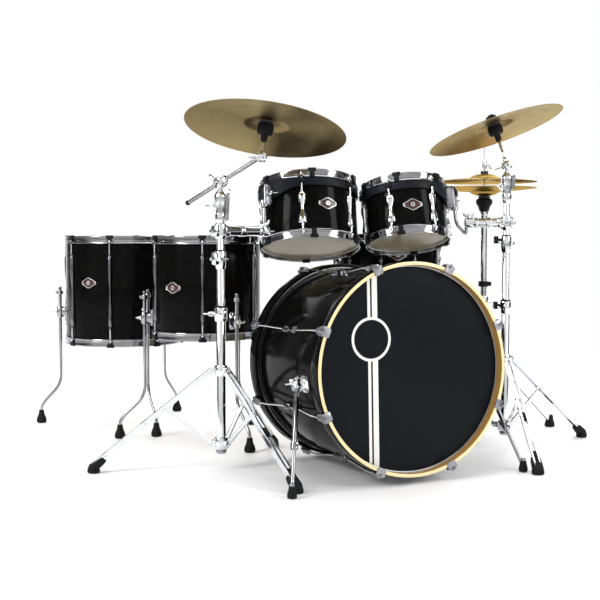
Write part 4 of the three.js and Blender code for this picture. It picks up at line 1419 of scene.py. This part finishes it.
def plate_profile(radius, bell, rise):
    """A cymbal's section from its hole to its rim and back, and the number of points on its bell."""
    bow, thick = rise * 0.45, 1.15
    top = []
    for k in range(17):
        r = 6.2 + (bell * 0.93 - 6.2) * k / 16
        top.append((r, bow + (rise - bow) * (1 - (r / bell) ** 3.3)))
    crease = len(top)
    for k in range(1, 41):
        r = bell * 0.93 + (radius - bell * 0.93) * k / 40
        t = max(0.0, (r - bell) / (radius - bell))
        wave = 0.12 * math.sin(r * 0.55) if r > bell * 1.05 else 0
        top.append(
            (
                r,
                bow * (1 - t ** 1.35) + wave + (0.9 * math.exp(-((r - bell) / 2.2) ** 2) if r < bell else 0)
            )
        )
    under = [(r, z - thick) for r, z in reversed(top)]
    return top + [(radius + 0.45, top[-1][1] - thick / 2)] + under, crease


def cymbal(name, body, node, radius, bell, rise, paint, bell_paint, flipped=False):
    centre, axis = disc_frame(node)
    turn = UP.rotation_difference(axis).to_matrix().to_4x4()
    level = frame_on((0, 0, 0), axis, axis.cross(UP) if axis.z < 0.999 else None)
    if flipped:
        axis = -axis
    pts = points_of(node)
    heights = (pts - np.array(centre)) @ np.array(axis)
    rim = centre + axis * (heights.min() + 0.7 * MM)
    over = Matrix.Rotation(math.pi if flipped else 0, 4, "X")
    here = Matrix.Translation(rim)
    profile, crease = plate_profile(radius - 0.5, bell, rise)
    n = len(profile)
    slots = [1 if k < crease or k > n - crease - 2 else 0 for k in range(n)]
    slots[-1] = 1
    Shape().lathe(profile, sides=WIDE_SIDES, slots=slots).finish(
        name, [paint, bell_paint], body, here @ level @ over, crease=50, replaces=(node,)
    )
    return here @ turn @ over


def disc_frame(node):
    """Middle and axis of a turned dish, the axis pointing up."""
    pts = points_of(node)
    middle = pts.mean(axis=0)
    _, _, rows = np.linalg.svd(pts - middle, full_matrices=False)
    axis = Vector(rows[2])
    if axis.z < 0:
        axis.negate()
    return Vector(middle), axis.normalized()


def tilter(name, matrix, drop, rise):
    """Toothed tilter, threaded post, deep black cup, felts and domed nut of one crash cymbal."""
    body = name + "_tilter"
    chrome, soft, dark = Shape(), Shape(), Shape()
    across = shift(z=-drop) @ SIDEWAYS
    for face in (across @ OVER, across):
        chrome.turned(
            [(0, 1.2), (13.6, 1.2), (14.4, 2.2), (14.4, 8), (12, 10.4), (7, 11.4), (6.2, 14), (0, 14)], 40,
            face
        )
        for turn in around(22):
            chrome.block((1.3, 1.0, 4.6), face @ turn @ shift(x=14.2, z=5.2), corner=0.3)
    chrome.rod((0, 0, -18), (0, 0, 18), 3.8, across)
    wing_bolt(chrome, across @ shift(z=13.5), 24)
    chrome.turned([(0, -19.5), (6.6, -19.5), (7, -18.5), (7, -15), (0, -14)], 6, across)
    throat = [(0, 9), (8.4, 9), (9, 12), (7.6, 22), (6.2, 27), (0, 27)]
    chrome.turned([(r, z - drop) for r, z in throat], 30)
    seat = rise - 2.2
    post = [
        (0, 22 - drop), (4.4, 22 - drop), (4.4, seat - 66), (3.1, seat - 64), (3.1, rise + 15),
        (2.4, rise + 16), (0, rise + 16)
    ]
    chrome.turned(post, 24)
    chrome.finish(body + "_metal", CHROME, body, matrix, replaces=(body,))
    stem = [(3.3, seat - 64), (8.2, seat - 63), (9.4, seat - 60), (9.6, seat - 42), (3.3, seat - 40)]
    dark.sleeve(stem, 32)
    cup = [
        (3.3, seat - 42), (19, seat - 42), (21.4, seat - 40.4), (22.4, seat - 36), (22.8, seat - 17),
        (21.6, seat - 13.6), (3.3, seat - 13)
    ]
    dark.sleeve(cup, 44)
    dark.sleeve([(3.3, seat - 13), (5.6, seat - 12), (5.4, rise + 8), (3.3, rise + 8.4)], 28)
    for turn in around(10):
        dark.block((2.2, 4.4, 18), turn @ shift(x=22.2, z=seat - 27), corner=0.6)
    dark.finish(name + "_nylon_sleeve", RUBBER, body, matrix)
    lower = [
        (5.7, seat - 12.8), (20.4, seat - 12.6), (21.6, seat - 11), (21.4, seat - 8.4), (17, seat - 5.4),
        (9, seat - 2.4), (5.7, seat - 1.4)
    ]
    upper = [
        (5.7, rise + 0.9), (8, rise + 1.2), (15.6, rise + 2.8), (17.4, rise + 4.2), (17.4, rise + 6.4),
        (15.8, rise + 7.6), (5.7, rise + 8)
    ]
    soft.sleeve(lower, 40)
    soft.sleeve(upper, 40)
    soft.finish(name + "_felts", FELT, body, matrix)
    nut = Shape()
    dome = [
        (3.4, rise + 8.2), (13.4, rise + 8.4), (15, rise + 10), (14.6, rise + 14), (12, rise + 18.6),
        (8, rise + 21.4), (3.4, rise + 22.6), (0, rise + 22.8), (0, rise + 17), (3.4, rise + 17)
    ]
    nut.sleeve(dome, 36)
    for turn in around(3):
        nut.block((7, 8, 10), turn @ shift(x=14.6, z=rise + 14), corner=0.6)
    nut.finish(name + "_wing_nut", RUBBER, body, matrix)


def boom():
    pivot = Vector(joint_named("left_boom_tilt")["pos_m"])
    end = Vector(joint_named("left_crash_angle")["pos_m"])
    place = frame_on(pivot, end - pivot, UP)
    long = (end - pivot).length / MM
    rod, hub, ball = Shape(), Shape(), Shape()
    rod.turned([(0, -124), (4.8, -124), (5.6, -123), (5.6, long - 13), (4.8, long - 12), (0, long - 12)], 28)
    for k in range(26):
        z = -112 + k * 3.4
        rod.sleeve([(5.4, z - 0.8), (5.95, z - 0.5), (5.95, z + 0.5), (5.4, z + 0.8)], 24)
    rod.finish("left_boom_rod", DARK_STEEL, "left_boom", place, replaces=("left_boom",))
    ball.turned([(0, -131), (4, -130.4), (6.6, -128), (7.6, -125), (6.8, -121.4), (5.7, -120), (0, -120)], 28)
    ball.finish("left_boom_end_cap", RUBBER, "left_boom", place)
    hub.sleeve([(5.7, -13), (9.4, -12.6), (10.4, -10), (11, 18), (10, 24), (8.6, 25), (5.7, 25.4)], 32)
    for face in (SIDEWAYS @ OVER, SIDEWAYS):
        hub.turned(
            [(0, 5), (14.2, 5), (15, 6.2), (15, 12), (12.4, 14), (6.6, 15), (6, 18), (0, 18)], 40, face
        )
        for turn in around(24):
            hub.block((1.3, 1.0, 5), face @ turn @ shift(x=14.9, z=9), corner=0.3)
        wing_bolt(hub, face @ shift(z=17), 23)
    hub.finish("left_boom_tilter", CHROME, "left_boom", place)


BELL_BRONZE = bronze("crash_bell_bronze", (0.30, 0.235, 0.12), (0.22, 0.165, 0.08), KHAKI, 900.0)
LEFT = cymbal(
    "left_crash_plate", "left_crash_cymbal", "left_crash_cymbal", 228.5, 62, 32, BRONZE, BELL_BRONZE
)
RIGHT = cymbal(
    "right_crash_plate", "right_crash_cymbal", "right_crash_cymbal", 215, 60, 31, BRONZE, BELL_BRONZE
)
tilter("left_crash", LEFT, drop=78, rise=32)
tilter("right_crash", RIGHT, drop=115, rise=31)
boom()
mast_head("left_stand", Vector(joint_named("left_boom_tilt")["pos_m"]), bolt_side=155, reach=78)
mast_head("right_stand", Vector(joint_named("right_crash_angle")["pos_m"]), bolt_side=155, reach=44)

# ---------------------------------------------------------------- hi-hat


def fixed_leg(shape, rubbers, turn, top, tip_r, brace_from, brace_to):
    """A double-plate leg with its lower brace, ending in a large rubber foot."""
    tip = Vector((tip_r, 0, 24))
    for y in (-7.5, 7.5):
        strap(shape, top, tip, 7.5, 1.5, y, turn)
        strap(shape, top + Vector((5, 0, 5)), tip + Vector((5, 0, 5)), 1.1, 1.8, y * 0.84, turn)
    for t in (0.02, 0.42, 0.88):
        rivet(shape, top.lerp(tip, t), 9.4, 3.6, turn)
    strap(shape, brace_from, brace_to, 5.6, 2.0, 0, turn)
    rivet(shape, brace_to, 9.4, 3.6, turn)
    leg_sleeve(rubbers, top, tip, 0.62, 13, (5.8, 8.2), turn)
    shoe(rubbers, [(14.6, 20), (12.6, 28), (11.8, 38), (9, 42), (0, 43)], 18.5, turn @ shift(x=tip_r))


def hihat_stand(place, rail):
    """Base tube, fixed tripod, height clamp and the two rods that lead to the heel plate."""
    base, rubbers = Shape(), Shape()
    base.turned([(0, 46), (12.2, 46), (13.6, 47.5), (13.6, 450), (12.2, 452), (12.2, 322), (0, 322)], 40)
    base.sleeve([(13.7, 62), (18, 64), (20, 68), (20, 94), (18, 97), (13.7, 98)], 40)
    base.sleeve([(13.7, 268), (18, 270), (20, 274), (20, 292), (18, 297), (13.7, 298)], 40)
    for turn in around(3, 349):
        fixed_leg(base, rubbers, turn, Vector((20, 0, 278)), 258, Vector((16, 0, 84)), Vector((126, 0, 162)))
        base.block((14, 12, 20), turn @ shift(x=19, z=280), corner=0.5)
        base.block((12, 11, 16), turn @ shift(x=18, z=84), corner=0.5)
    base.sleeve(
        [
            (13.7, 426), (16.8, 428), (18.2, 432), (18.2, 460), (17, 465), (12.2, 466), (12.2, 458),
            (13.5, 456)
        ],
        44
    )
    grip = spin(222) @ shift(x=20, z=446) @ SIDEWAYS
    base.block((17, 15, 28), spin(222) @ shift(x=18, z=446), corner=0.5)
    base.rod((0, 0, -14), (0, 0, 16), 3.8, grip)
    wing_bolt(base, grip @ shift(z=12), 20)
    for y in (-14, 14):
        base.rod((14, y * 0.6, 60), (318, y * 2.2, 8), 4, rail, 14)
    base.finish("hihat_tripod_stand", CHROME, "kit_base", place, replaces=("hihat_base",))
    rubbers.finish("hihat_rubber_feet", RUBBER, "kit_base", place)


def hihat_memory_lock(place):
    dark = Shape()
    dark.sleeve([(11.3, 498.4), (16.4, 499), (17.4, 502), (17.4, 514), (16, 517), (11.3, 517.6)], 36)
    dark.block((14, 13, 15), spin(240) @ shift(x=20, z=508), corner=0.4)
    dark.block((14, 13, 15), spin(-20) @ shift(x=20, z=508), corner=0.4)
    dark.finish("hihat_memory_lock", RUBBER, "hihat_upper", place)


def hihat_heel_plate(place, rail):
    heel = Shape()
    outline = [(296, -38), (350, -40), (362, -28), (362, 28), (350, 40), (296, 38)]
    ring = rounded([(x, y, 0) for x, y in outline], 9, 4, closed=True)
    heel.slab(ring, (0.4, 1.2, 8.8, 10, 11), rail)
    for x in range(308, 354, 8):
        heel.block((2.4, 60, 1.6), rail @ shift(x=x, z=11.4), corner=0.4)
    heel.rod((294, -41, 14), (294, 41, 14), 5, rail, 18)
    heel.finish("hihat_heel_plate", ALUMINIUM, "kit_base", place)


def hihat_footboard(place, rail):
    """Ribbed pedal board from its toe pin down to the hinge on the heel plate."""
    toe, hinge = Vector((54, 0, 100)), Vector((292, 0, 22))
    along = (hinge - toe).normalized()
    lift = Vector((0, 1, 0)).cross(along) * -1
    lift = lift if lift.z > 0 else -lift
    pedal = Shape()
    rings = []
    for t, half in ((0.0, 17), (0.03, 26), (0.12, 34), (0.3, 39), (0.7, 40), (0.93, 40), (1.0, 39)):
        centre = toe.lerp(hinge, t)
        section = [
            (-half, -3), (-half, 4.5), (-half + 3, 5.5), (-half + 5, 3), (half - 5, 3), (half - 3, 5.5),
            (half, 4.5), (half, -3), (half - 4, -3.4), (-half + 4, -3.4)
        ]
        rings.append([centre + Vector((0, y, 0)) + lift * z for y, z in section])
    pedal.loft(rings, rail)
    for k in range(9):
        centre = toe.lerp(hinge, 0.16 + k * 0.08)
        frame_here = rail @ frame_on(centre + lift * 4, lift, along)
        for y in range(-28, 29, 14):
            pedal.block((9, 7, 2.4), frame_here @ shift(y=y), corner=0.6)
    pedal.turned(
        [(0, -5), (7, -5), (8, -3.6), (8, 3.6), (7, 5), (0, 5)], 24,
        rail @ Matrix.Translation(toe + lift * 2) @ SIDEWAYS
    )
    pedal.finish("hihat_footboard", ALUMINIUM, "hihat_pedal", place, replaces=("hihat_pedal",))


def hihat_tube(place):
    """Sliding tube with the cup and felt that carry the lower cymbal."""
    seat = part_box("hihat_lower_cymbal")[0][2] / MM - 1
    upper = Shape()
    upper.sleeve([(5.2, 358), (11.2, 358), (11.2, seat - 60), (5.2, seat - 60)], 36)
    upper.sleeve(
        [(11.1, seat - 66), (13.4, seat - 65), (14, seat - 62), (14, seat - 54), (11.1, seat - 52)], 36
    )
    upper.finish("hihat_upper_pipe", CHROME, "hihat_upper", place, replaces=("hihat_upper_tube",))
    cup = Shape()
    cup.sleeve(
        [
            (9.7, seat - 53), (15.4, seat - 52), (17.6, seat - 46), (20.5, seat - 36), (26.4, seat - 27),
            (28, seat - 22), (27.6, seat - 14), (23, seat - 9), (9.7, seat - 8)
        ],
        44
    )
    cup.finish("hihat_seat_cup", RUBBER, "hihat_upper", place)
    pad = Shape().sleeve(
        [
            (7, seat - 8), (19.5, seat - 8), (20.5, seat - 6), (20, seat - 1), (18, seat + 0.4),
            (7, seat + 0.6)
        ],
        44
    )
    pad.finish("hihat_seat_felt", FELT, "hihat_upper", place)


def hihat_clutch(place):
    """Pull rod with the clutch and felts that hold the upper cymbal."""
    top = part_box("hihat_upper_cymbal")[1][2] / MM
    rod = Shape()
    rod.turned([(0, 482), (2.4, 482), (3.2, 483), (3.2, 984), (2.4, 985), (0, 985)], 24)
    rod.sleeve(
        [
            (3.3, top + 14), (7.4, top + 14.4), (8, top + 16), (8, top + 45), (7.2, top + 48),
            (3.3, top + 48.4)
        ],
        32
    )
    rod.sleeve(
        [
            (3.8, top + 9.5), (11, top + 9.7), (12, top + 10.8), (11.6, top + 13.4), (8.2, top + 14.2),
            (3.8, top + 14.2)
        ],
        32
    )
    screw = shift(x=7, z=top + 32) @ OUTWARD
    rod.rod((0, 0, 0), (0, 0, 15), 2.6, screw)
    wing_bolt(rod, screw @ shift(z=8), 13)
    rod.finish("hihat_pull_rod", CHROME, "hihat_rod", place, replaces=("hihat_rod",))
    felts = Shape()
    felts.sleeve(
        [
            (3.9, top + 0.6), (12.4, top + 0.8), (13.6, top + 2.2), (13.4, top + 7.6), (12, top + 9.2),
            (3.9, top + 9.4)
        ],
        40
    )
    felts.sleeve(
        [(3.9, top - 12), (10.6, top - 12), (11.4, top - 10), (11.2, top - 3.8), (3.9, top - 3.2)], 40
    )
    felts.finish("hihat_clutch_felts", FELT, "hihat_rod", place)


def hihat():
    place, rail = standing_at("hihat_rod"), spin(132)
    hihat_stand(place, rail)
    hihat_memory_lock(place)
    hihat_heel_plate(place, rail)
    hihat_footboard(place, rail)
    hihat_tube(place)
    hihat_clutch(place)


HIHAT_BELL = bronze("hihat_bell_bronze", (0.42, 0.295, 0.10), (0.33, 0.22, 0.07), AMBER, 1100.0)
hihat()
cymbal("hihat_top_plate", "hihat_rod", "hihat_upper_cymbal", 178, 52, 26, GOLD_BRONZE, HIHAT_BELL)
cymbal(
    "hihat_bottom_plate", "hihat_upper", "hihat_lower_cymbal", 178, 52, 26, GOLD_BRONZE, HIHAT_BELL,
    flipped=True
)

# ---------------------------------------------------------------- snare


def snare_drum(place, radius, edge, lugs):
    drum_shell("snare", "snare", place, radius, edge, 7, ("snare_shell",))
    casting = Shape()
    for i in range(lugs):
        cast_lug(casting, radius, 18 + 36 * i, 25, 0.5, 15, 14)
    casting.finish("snare_lugs", NICKEL, "snare", place)
    ends = (("snare_top",), ())
    both_ends(
        "snare", "snare", place, radius, edge, lugs, 18, None, (26, 26), 7.5, ends, ("_batter", "_resonant")
    )


def snare_wires(place, edge):
    """Coiled wires stretched under the lower head."""
    wires = Shape()
    for k in range(16):
        y = -20 + 40 * k / 15
        path = [
            (-148 + 296 * t / 60, y + 0.7 * math.cos(t * 2.1), -edge - 2.4 + 0.7 * math.sin(t * 2.1))
            for t in range(61)
        ]
        wires.tube(path, 0.55, None, 6)
    for x in (-150, 150):
        wires.block((10, 46, 1.6), shift(x=x, z=-edge - 2.6), corner=0.4)
    wires.finish("snare_wires", WIRE, "snare", place)


def snare_strainer(place, radius):
    """Throw-off lever on one side and butt plate on the other."""
    strainer = Shape()
    seat = shift(x=radius)
    strainer.boss(((-0.5, 1), (6, 1), (11, 0.86), (14, 0.6)), 13, 30, seat)
    strainer.tube([(12, 0, -8), (19, 0, 6), (21, 0, 26), (18, 0, 38)], [3.4, 4.2, 4.2, 3], seat, 14)
    strainer.turned([(0, -40), (7, -40), (7.6, -38), (7.6, -30), (0, -29)], 20, seat @ shift(x=9))
    strainer.boss(((-0.5, 1), (6, 1), (10, 0.8)), 11, 20, spin(180) @ seat)
    strainer.finish("snare_strainer", CHROME, "snare", place)


def snare_stand(ground):
    """Tube and fixed tripod under the basket."""
    stand, rubbers = Shape(), Shape()
    stand.turned([(0, 58), (11.4, 58), (13, 60), (13, 352), (9.7, 354), (9.7, 102), (0, 102)], 40)
    stand.sleeve([(13.1, 62), (18, 63), (20, 66), (20, 82), (18, 85), (13.1, 86)], 40)
    stand.sleeve([(13.1, 200), (18, 202), (20, 206), (20, 224), (18, 228), (13.1, 229)], 40)
    stand.sleeve([(13.1, 336), (16.4, 338), (17.2, 341), (17.2, 362), (16, 365), (9.8, 366)], 40)
    wing_bolt(stand, spin(20) @ shift(x=16, z=351) @ OUTWARD, 20)
    for turn in around(3, 75):
        fixed_leg(stand, rubbers, turn, Vector((19, 0, 212)), 220, Vector((17, 0, 74)), Vector((108, 0, 126)))
        stand.block((12, 12, 18), turn @ shift(x=19, z=212), corner=0.5)
        stand.block((11, 11, 14), turn @ shift(x=18, z=74), corner=0.5)
    stand.finish("snare_tripod_stand", CHROME, "kit_base", ground, replaces=("snare_stand",))
    rubbers.finish("snare_stand_rubber_feet", RUBBER, "kit_base", ground)


def snare_basket(ground):
    """Sliding tube with three arms and the rubber grips that hold the drum."""
    basket, tips = Shape(), Shape()
    basket.turned([(0, 250), (8.4, 250), (9.2, 251), (9.2, 468), (0, 468)], 32)
    basket.sleeve([(9.3, 466), (20, 468), (23, 472), (24, 478), (24, 494), (22, 499), (0, 500)], 40)
    for turn in around(3, 135):
        for y in (-4.4, 4.4):
            strap(basket, (20, 0, 487), (190, 0, 521), 4.6, 1.3, y, turn)
        for t in (24, 100, 186):
            rivet(basket, (t, 0, 487 + (t - 20) * 0.2), 6, 2.8, turn)
        basket.tube(rounded([(186, 0, 519), (197, 0, 523), (199, 0, 548)], 7, 5), 5, turn, 16)
        tips.tube(
            [(196.5, 0, 525), (197, 0, 528), (198, 0, 545), (199, 0, 558), (199.2, 0, 561)],
            [6.6, 7.6, 7.8, 7.6, 5.6], turn, 20
        )
    basket.finish("snare_basket_arms", CHROME, "snare", ground, replaces=("snare_basket",))
    tips.finish("snare_basket_grips", RUBBER, "snare", ground)


def snare():
    radius, edge = 178, 58
    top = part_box("snare_top")[1][2] / MM
    place, ground = standing_at("snare_top", (top - 70) * MM), standing_at("snare_top")
    snare_drum(place, radius, edge, lugs=10)
    snare_wires(place, edge)
    snare_strainer(place, radius)
    vent_badge("snare", "snare", place, radius, angle=252, z=0)
    snare_stand(ground)
    snare_basket(ground)


snare()

# ---------------------------------------------------------------- floor, light and camera


STUDIO_TURN = Matrix.Rotation(math.radians(-CAMERA["heading"]), 3, "Z")  # faces the camera


def studio_paint():
    floor = Paint("studio_floor", (0.86, 0.86, 0.86), 0.55)
    floor.gloss(0.5, 0.6, 3, 3)
    floor.tone((0.85, 0.85, 0.855), (0.87, 0.87, 0.87), 2, 4)
    seen = floor.nodes.new("ShaderNodeLightPath").outputs["Is Camera Ray"]
    far = floor.math("MULTIPLY", seen, floor.spread(floor.distance(), 0.0, 1.0, 1.9, 3.3))
    white = floor.nodes.new("ShaderNodeEmission")
    white.inputs["Color"].default_value = WHITE
    fade = floor.nodes.new("ShaderNodeMixShader")
    for source, socket in ((far, 0), (floor.shader.outputs["BSDF"], 1), (white.outputs["Emission"], 2)):
        floor.links.new(source, fade.inputs[socket])
    floor.links.new(fade.outputs["Shader"], floor.nodes["Material Output"].inputs["Surface"])
    return floor.mat


def studio_floor():
    paint = studio_paint()
    mesh = bpy.data.meshes.new("studio_floor")
    rows, half, back, rise = [], 9.0, 6.5, 6.0
    for k in range(13):
        a = math.radians(90 * k / 12)
        rows.append((back + 2.2 * math.sin(a), 2.2 - 2.2 * math.cos(a)))
    outline = [(-12.0, 0.0), (-6.0, 0.0)] + rows + [(back + 2.2, rise)]
    verts = [STUDIO_TURN @ Vector((x, y, z - 0.0004)) for x in (-half, half) for y, z in outline]
    n = len(outline)
    faces = [[k, k + 1, n + k + 1, n + k] for k in range(n - 1)]
    mesh.from_pydata([tuple(v) for v in verts], [], faces)
    mesh.polygons.foreach_set("use_smooth", [True] * len(mesh.polygons))
    mesh.materials.append(paint)
    obj = bpy.data.objects.new("studio_floor", mesh)
    bpy.context.scene.collection.objects.link(obj)


def studio_room():
    """Plain white where the camera sees it, and the greys of ROOM in all reflections."""
    world = bpy.data.worlds.new("studio")
    bpy.context.scene.world = world
    world.use_nodes = True
    nodes, links = world.node_tree.nodes, world.node_tree.links
    facing = nodes.new("ShaderNodeVectorMath")
    facing.operation = "DOT_PRODUCT"
    facing.inputs[1].default_value = STUDIO_TURN @ Vector((0, -0.5, 0))
    links.new(nodes.new("ShaderNodeTexCoord").outputs["Generated"], facing.inputs[0])
    lift = nodes.new("ShaderNodeMath")
    lift.inputs[1].default_value = 0.5
    links.new(facing.outputs["Value"], lift.inputs[0])
    shade = nodes.new("ShaderNodeValToRGB")
    marks = shade.color_ramp.elements
    while len(marks) < len(ROOM):
        marks.new(0.5)
    for mark, (place, grey) in zip(marks, ROOM):
        mark.position = place
        mark.color = (grey, grey, grey, 1.0)
    links.new(lift.outputs["Value"], shade.inputs["Fac"])
    backdrop = nodes.new("ShaderNodeMix")
    backdrop.data_type = "RGBA"
    links.new(nodes.new("ShaderNodeLightPath").outputs["Is Camera Ray"], backdrop.inputs["Factor"])
    links.new(shade.outputs["Color"], backdrop.inputs["A"])
    backdrop.inputs["B"].default_value = WHITE
    links.new(backdrop.outputs["Result"], nodes["Background"].inputs["Color"])


def area(name, at, target, size, power):
    light = bpy.data.lights.new(name, "AREA")
    light.shape = "RECTANGLE"
    light.size, light.size_y = size
    light.energy = power
    obj = bpy.data.objects.new(name, light)
    obj.location = STUDIO_TURN @ Vector(at)
    aim = STUDIO_TURN @ Vector(target)
    obj.rotation_euler = (aim - obj.location).to_track_quat("-Z", "Y").to_euler()
    bpy.context.scene.collection.objects.link(obj)


def studio_lights():
    area("key_softbox", (-3.6, -2.4, 3.0), (0, 0, 0.6), (1.3, 3.0), 170)
    area("fill_softbox", (3.6, -2.2, 2.4), (0, 0, 0.5), (1.1, 2.8), 90)
    area("top_softbox", (0, 0.2, 4.2), (0, 0, 0), (4.6, 3.4), 150)
    area("rim_softbox", (2.8, 3.2, 2.6), (0, 0, 0.6), (2.2, 1.6), 60)
    area("left_backdrop_light", (-4.2, 3.4, 5.2), (-2.6, 8.4, 2.0), (3.0, 3.0), 420)
    area("right_backdrop_light", (4.2, 3.4, 5.2), (2.6, 8.4, 2.0), (3.0, 3.0), 420)


def camera():
    scene = bpy.context.scene
    data = bpy.data.cameras.new("camera")
    data.sensor_fit = "HORIZONTAL"
    data.sensor_width = 36.0
    data.lens = CAMERA["lens"]
    data.clip_end = 60
    obj = bpy.data.objects.new("camera", data)
    heading = math.radians(CAMERA["heading"])
    pitch = math.radians(CAMERA["pitch"])
    ahead = Vector(
        (math.sin(heading) * math.cos(pitch), math.cos(heading) * math.cos(pitch), math.sin(pitch))
    )
    obj.location = CAMERA["at"]
    obj.rotation_euler = ahead.to_track_quat("-Z", "Y").to_euler()
    scene.collection.objects.link(obj)
    scene.camera = obj


studio_floor()
studio_room()
studio_lights()
camera()
bpy.context.scene.view_settings.view_transform = "Standard"
